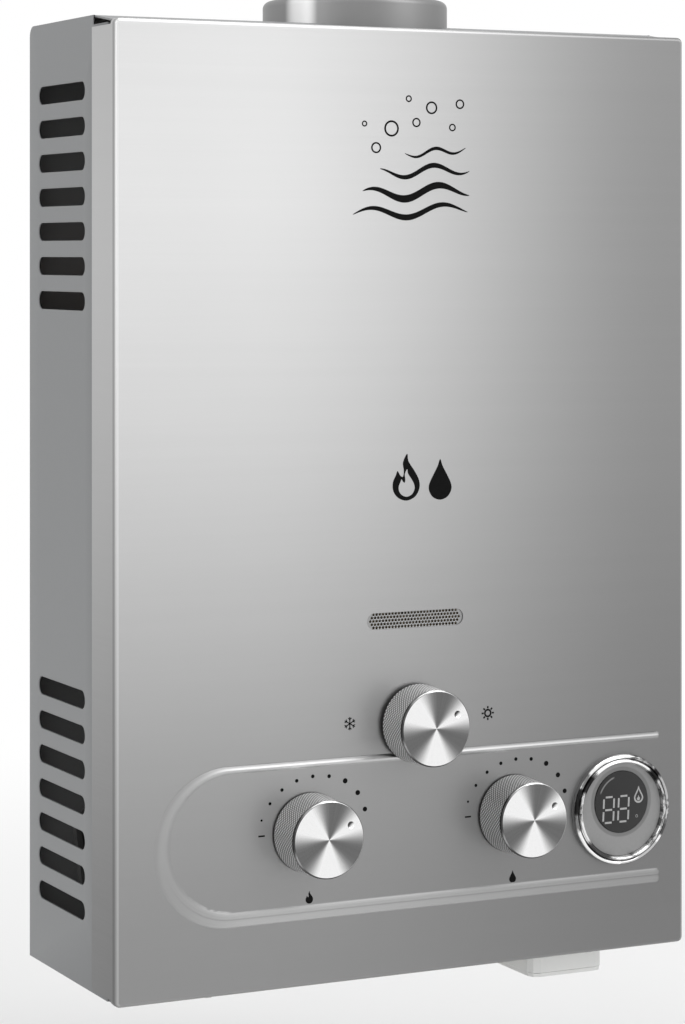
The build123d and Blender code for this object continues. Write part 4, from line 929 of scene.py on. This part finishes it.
# The rolled edge: how far the slot's outline is outset at each distance in from the face
SLOT_ROLL = ((0.45, 0), (0.2, 0.1), (0.04, 0.32), (0, 0.95))
PAINT_DARK = (0.186, 0.191, 0.195, 1)
PAINT_LIGHT = (0.216, 0.221, 0.225, 1)


def painted(name, outside):
    """Satin stoved paint: a faint orange peel, slight clouding, and painted shade, nearly black,
    inside the case.
    """
    finish = Finish(name, coat_weight=0.15, coat_roughness=0.35)
    unshaded_skin = finish.ramp(abs(finish.axes(finish.place)[0]), outside - 0.0006, outside)
    peel = finish.noise(finish.centred(), 420.0, 3.0)
    cloud = finish.noise(finish.centred(size=(1, 1, 2.5)), 7.0, 3.0)
    paint = finish.mix(0.75 * cloud + 0.25 * peel, PAINT_DARK, PAINT_LIGHT)
    # Faces inside the case take painted shade, nearly black, in place of the paint.
    finish.put("Base Color", finish.mix(unshaded_skin, grey(0.03), paint))
    finish.put("Roughness", 0.4 + 0.12 * cloud + 0.06 * peel)
    return finish.bump(peel, 0.03)


def side_ring(bm, outline, x):
    """New vertices along a side-view outline of (depth, height)."""
    return [bm.verts.new(at(x, depth, height)) for depth, height in outline]


side_paint = painted("side_paint", 0.1474)
side_edge = [(SIDE_FRONT, SIDE_FOOT), (SIDE_FRONT, SIDE_NOTCH[1]), SIDE_NOTCH]
side_edge.append((SIDE_NOTCH[0], SIDE_TOP))
side_middle = (SIDE_BACK - SIDE_CORNER, SIDE_TOP - SIDE_CORNER)
side_edge += [around(side_middle, SIDE_CORNER, pi / 2 - pi / 16 * step) for step in range(9)]
side_edge.append((SIDE_BACK, SIDE_FOOT))
for side_hand, side_name in ((-1, "left"), (1, "right")):
    side_mesh = bmesh.new()
    side_out = side_hand * SIDE_OUTER
    side_rings = [side_ring(side_mesh, side_edge, side_out)]
    for side_height in SLOT_HEIGHTS:
        side_rolls = []
        for side_outset, side_in in SLOT_ROLL:
            side_size = (SLOT_LENGTH + 2 * side_outset, SLOT_WIDTH + 2 * side_outset)
            side_slot = obround(SLOT_DEPTH, side_height, *side_size, 14)
            side_rolls.append(side_ring(side_mesh, side_slot, side_out - side_hand * side_in))
        for side_pair in zip(side_rolls, side_rolls[1:]):
            bridge(side_mesh, *side_pair)
        side_rings.append(side_rolls[0])
    fill(side_mesh, side_rings, X_AXIS * side_hand)
    side_front = side_rings[0][:2]
    side_fold = X_AXIS * side_hand * SIDE_LIP * MM
    side_lip = [side_mesh.verts.new(vert.co - side_fold) for vert in side_front]
    side_mesh.faces.new((*side_front, *reversed(side_lip)))
    side_piece = made(side_name + "_side_sheet", side_mesh, side_paint, 50.0)
    thicken(side_piece, CASE_SHEET)
    add(side_piece, "casing", "case_paint", side_name + "_side_panel")
dress(painted("grey_paint", 0.0), "back_panel", "bottom_plate")

# Flue collar
# A short round neck of zinc-coated steel with a rolled rim, on a flange riveted to the hood.

COLLAR_DEPTH = 60.4
COLLAR_BORE = 42.8
COLLAR_NECK = 43.6
COLLAR_RIM = 44.5
COLLAR_FLANGE = 50
COLLAR_ROLL = 3.4

zinc_finish = Finish("zinc_coat", metallic=1.0)
zinc_spangle = zinc_finish.cells(zinc_finish.centred(), 130.0)
zinc_cloud = zinc_finish.noise(zinc_finish.centred(), 24.0, 4.0)
zinc_tone = 0.5 * zinc_spangle + 0.5 * zinc_cloud
zinc_finish.coat(zinc_tone, grey(0.34), grey(0.52), 0.3, 0.2, zinc_cloud)
zinc_finish.bump(zinc_spangle, 0.01)
collar = [(COLLAR_BORE, 425), (COLLAR_FLANGE, 425), (COLLAR_FLANGE, 425.8), (43.9, 425.8)]
collar += [(COLLAR_NECK, 426.2), (COLLAR_NECK, 437), (COLLAR_RIM, 437.6)]
collar += [around((COLLAR_RIM - COLLAR_ROLL, 452.8), COLLAR_ROLL, pi / 16 * k) for k in range(9)]
collar += [(40.9, 455.6), (41.6, 454.4), (COLLAR_BORE, 453.6), (COLLAR_BORE, 425)]
collar_centre = at(0, COLLAR_DEPTH, 0)
collar_finish = Finish("collar_zinc", metallic=1.0)
collar_x, collar_y = collar_finish.axes(collar_finish.centred(collar_centre))[:2]
collar_turn = collar_finish.node("ShaderNodeMath", collar_y, collar_x, operation="ARCTAN2")
collar_cloud = collar_finish.noise(collar_finish.centred(), 24.0, 4.0)
# The zinc's own clouding, and a painted highlight down the neck's left front.
collar_tone_and_highlight = 0.2 + 0.1 * collar_cloud + 0.5 * arc(collar_finish, collar_turn, -158, -146, 7)
collar_finish.coat(collar_tone_and_highlight, grey(0), grey(1), 0.36, 0.15, collar_cloud)
collar_mesh = lathe(collar, collar_centre, Z_AXIS, 144)
collar_piece = made("flue_neck", collar_mesh, collar_finish, 40.0)
add(collar_piece, "casing", "galvanised", "flue_collar")
dress(zinc_finish, "hanging_rail", "lower_bracket", "exchanger_brackets", "valve_bracket")

# Battery box
# A moulded pale box through the bottom plate, open below, and its lid on a steel pin. Two large
# cells stand in it under their contact strips.

plastic_finish = Finish("moulded_grey")
plastic_grain = plastic_finish.noise(plastic_finish.centred(), 900.0, 2.0)
plastic_flow = plastic_finish.noise(plastic_finish.centred(size=(1, 3, 1)), 18.0, 3.0)
plastic_tones = ((0.82, 0.825, 0.81, 1), (0.9, 0.905, 0.89, 1))
plastic_finish.coat(plastic_flow, *plastic_tones, 0.42, 0.12, plastic_grain)
plastic_finish.bump(plastic_grain, 0.02)
dress(plastic_finish, "battery_box", "battery_lid")

cell_finish = Finish("cell_sleeve", coat_weight=0.5)
cell_height = cell_finish.axes(cell_finish.place)[2]
cell_band = cell_finish.ramp(cell_height, -0.37, -0.369)
cell_noise = cell_finish.noise(cell_finish.centred(), 120.0)
cell_blend = cell_finish.mix(cell_noise, (0.03, 0.035, 0.05, 1), (0.05, 0.055, 0.075, 1))
cell_finish.coat(cell_band, cell_blend, (0.55, 0.3, 0.08, 1), 0.3, 0.1, cell_noise)
dress(cell_finish, "battery_cells")

# Plated steel
# Screws, contacts, the switch's lever, the hinge pin and the push rod are bright plated steel.

steel_finish = Finish("plated_steel", metallic=1.0)
steel_mark = steel_finish.noise(steel_finish.centred(), 240.0, 4.0, 0.6)
steel_finish.coat(steel_mark, grey(0.5), grey(0.72), 0.18, 0.2, steel_mark)
steel_finish.bump(steel_mark, 0.01)
dress(steel_finish, "cover_screws", "battery_contacts", "switch_lever", "lid_pin", "push_rod")

# Copper
# The chamber, the fins and the water pipes are copper, darkened by heat in soft patches.

copper_finish = Finish("copper", metallic=1.0)
copper_patch = copper_finish.noise(copper_finish.centred(), 30.0, 5.0, 0.6)
copper_fine = copper_finish.noise(copper_finish.centred(), 300.0, 3.0)
copper_tone = copper_finish.ramp(copper_patch, 0.35, 0.7)
copper_tones = ((0.72, 0.36, 0.22, 1), (0.4, 0.2, 0.13, 1))
copper_finish.coat(copper_tone, *copper_tones, 0.26, 0.25, copper_patch)
copper_finish.bump(copper_fine, 0.02)
dress(copper_finish, "fin_pack", "exchanger_tubes", "combustion_chamber")
dress(copper_finish, "cold_water_pipe", "hot_water_pipe")

# Brass
# The three connections, the water valve, the drain cock and the spindles are turned or cast brass.

brass_finish = Finish("brass", metallic=1.0)
brass_patch = brass_finish.noise(brass_finish.centred(), 60.0, 4.0)
brass_turned = brass_finish.noise(brass_finish.centred(size=(1, 1, 0.0006)), 1.0, 2.0)
brass_tones = ((0.66, 0.47, 0.2, 1), (0.46, 0.32, 0.13, 1))
brass_finish.coat(brass_patch, *brass_tones, 0.24, 0.2, brass_patch)
brass_finish.bump(brass_turned, 0.012)
dress(brass_finish, "gas_inlet_fitting", "water_inlet_fitting", "hot_outlet_fitting")
dress(brass_finish, "water_valve_body", "drain_cock_body")
dress(brass_finish, "gas_spindle", "water_spindle", "season_spindle")

# Die-cast alloy
# The gas valve, the season valve, the diaphragm's cover and the gas rail have a grainy cast skin.

cast_finish = Finish("die_cast", metallic=1.0)
cast_grain = cast_finish.noise(cast_finish.centred(), 520.0, 4.0, 0.7)
cast_flow = cast_finish.noise(cast_finish.centred(), 45.0)
cast_finish.coat(cast_flow, grey(0.4), grey(0.56), 0.42, 0.2, cast_grain)
cast_finish.bump(cast_grain, 0.05)
dress(cast_finish, "gas_valve_body", "season_valve_body", "diaphragm_cover", "gas_manifold")

# Burner steel
# The bars, their frame and the hood are thin heat-tinted steel.

burner_finish = Finish("heat_tinted_steel", metallic=1.0)
burner_tint = burner_finish.noise(burner_finish.centred(), 22.0, 4.0)
burner_grain = burner_finish.noise(burner_finish.centred(size=(0.02, 1, 1)), 60.0)
burner_tones = ((0.46, 0.44, 0.42, 1), (0.34, 0.27, 0.2, 1))
burner_finish.coat(burner_tint, *burner_tones, 0.34, 0.2, burner_grain)
burner_finish.bump(burner_grain, 0.01)
dress(burner_finish, "burner_bars", "burner_frame", "draft_hood")

# Black mouldings
# The solenoid, the switch, the cut-out, the controller and the drain plug are black plastic.

black_finish = Finish("black_moulding")
black_grain = black_finish.noise(black_finish.centred(), 800.0)
black_dust = black_finish.noise(black_finish.centred(), 30.0, 4.0)
black_finish.coat(black_dust, grey(0.018), grey(0.05), 0.4, 0.2, black_dust)
black_finish.bump(black_grain, 0.02)
dress(black_finish, "solenoid_valve", "micro_switch", "thermostat", "ignition_controller")
dress(black_finish, "drain_cock_knob")

# Wires and rubber
# A silicone lead to the spark pins, a sleeved bundle of wires, and the diaphragm.

lead_finish = Finish("silicone_lead", coat_weight=0.2)
lead_tone = lead_finish.noise(lead_finish.centred(), 200.0)
lead_tones = ((0.42, 0.03, 0.02, 1), (0.55, 0.06, 0.035, 1))
lead_finish.coat(lead_tone, *lead_tones, 0.4, 0.15, lead_tone)
dress(lead_finish, "ignition_leads")

rubber_finish = Finish("black_rubber")
rubber_tone = rubber_finish.noise(rubber_finish.centred(), 350.0)
rubber_finish.coat(rubber_tone, grey(0.015), grey(0.045), 0.6, 0.2, rubber_tone)
rubber_finish.bump(rubber_tone, 0.05)
dress(rubber_finish, "wire_harness", "diaphragm")

# Ceramic and circuit board
# The spark pins' glazed sleeves, and the display's green laminate board.

ceramic_finish = Finish("glazed_ceramic", coat_weight=0.6)
ceramic_speck = ceramic_finish.noise(ceramic_finish.centred(), 300.0)
ceramic_tones = ((0.7, 0.67, 0.6, 1), (0.82, 0.8, 0.75, 1))
ceramic_finish.coat(ceramic_speck, *ceramic_tones, 0.25, 0.15, ceramic_speck)
dress(ceramic_finish, "spark_electrodes")

board_finish = Finish("board_laminate", coat_weight=0.3)
board_weave = board_finish.cells(board_finish.centred(), 900.0)
board_tones = ((0.01, 0.09, 0.035, 1), (0.02, 0.16, 0.06, 1))
board_finish.coat(board_weave, *board_tones, 0.35, 0.1, board_weave)
dress(board_finish, "display_board")
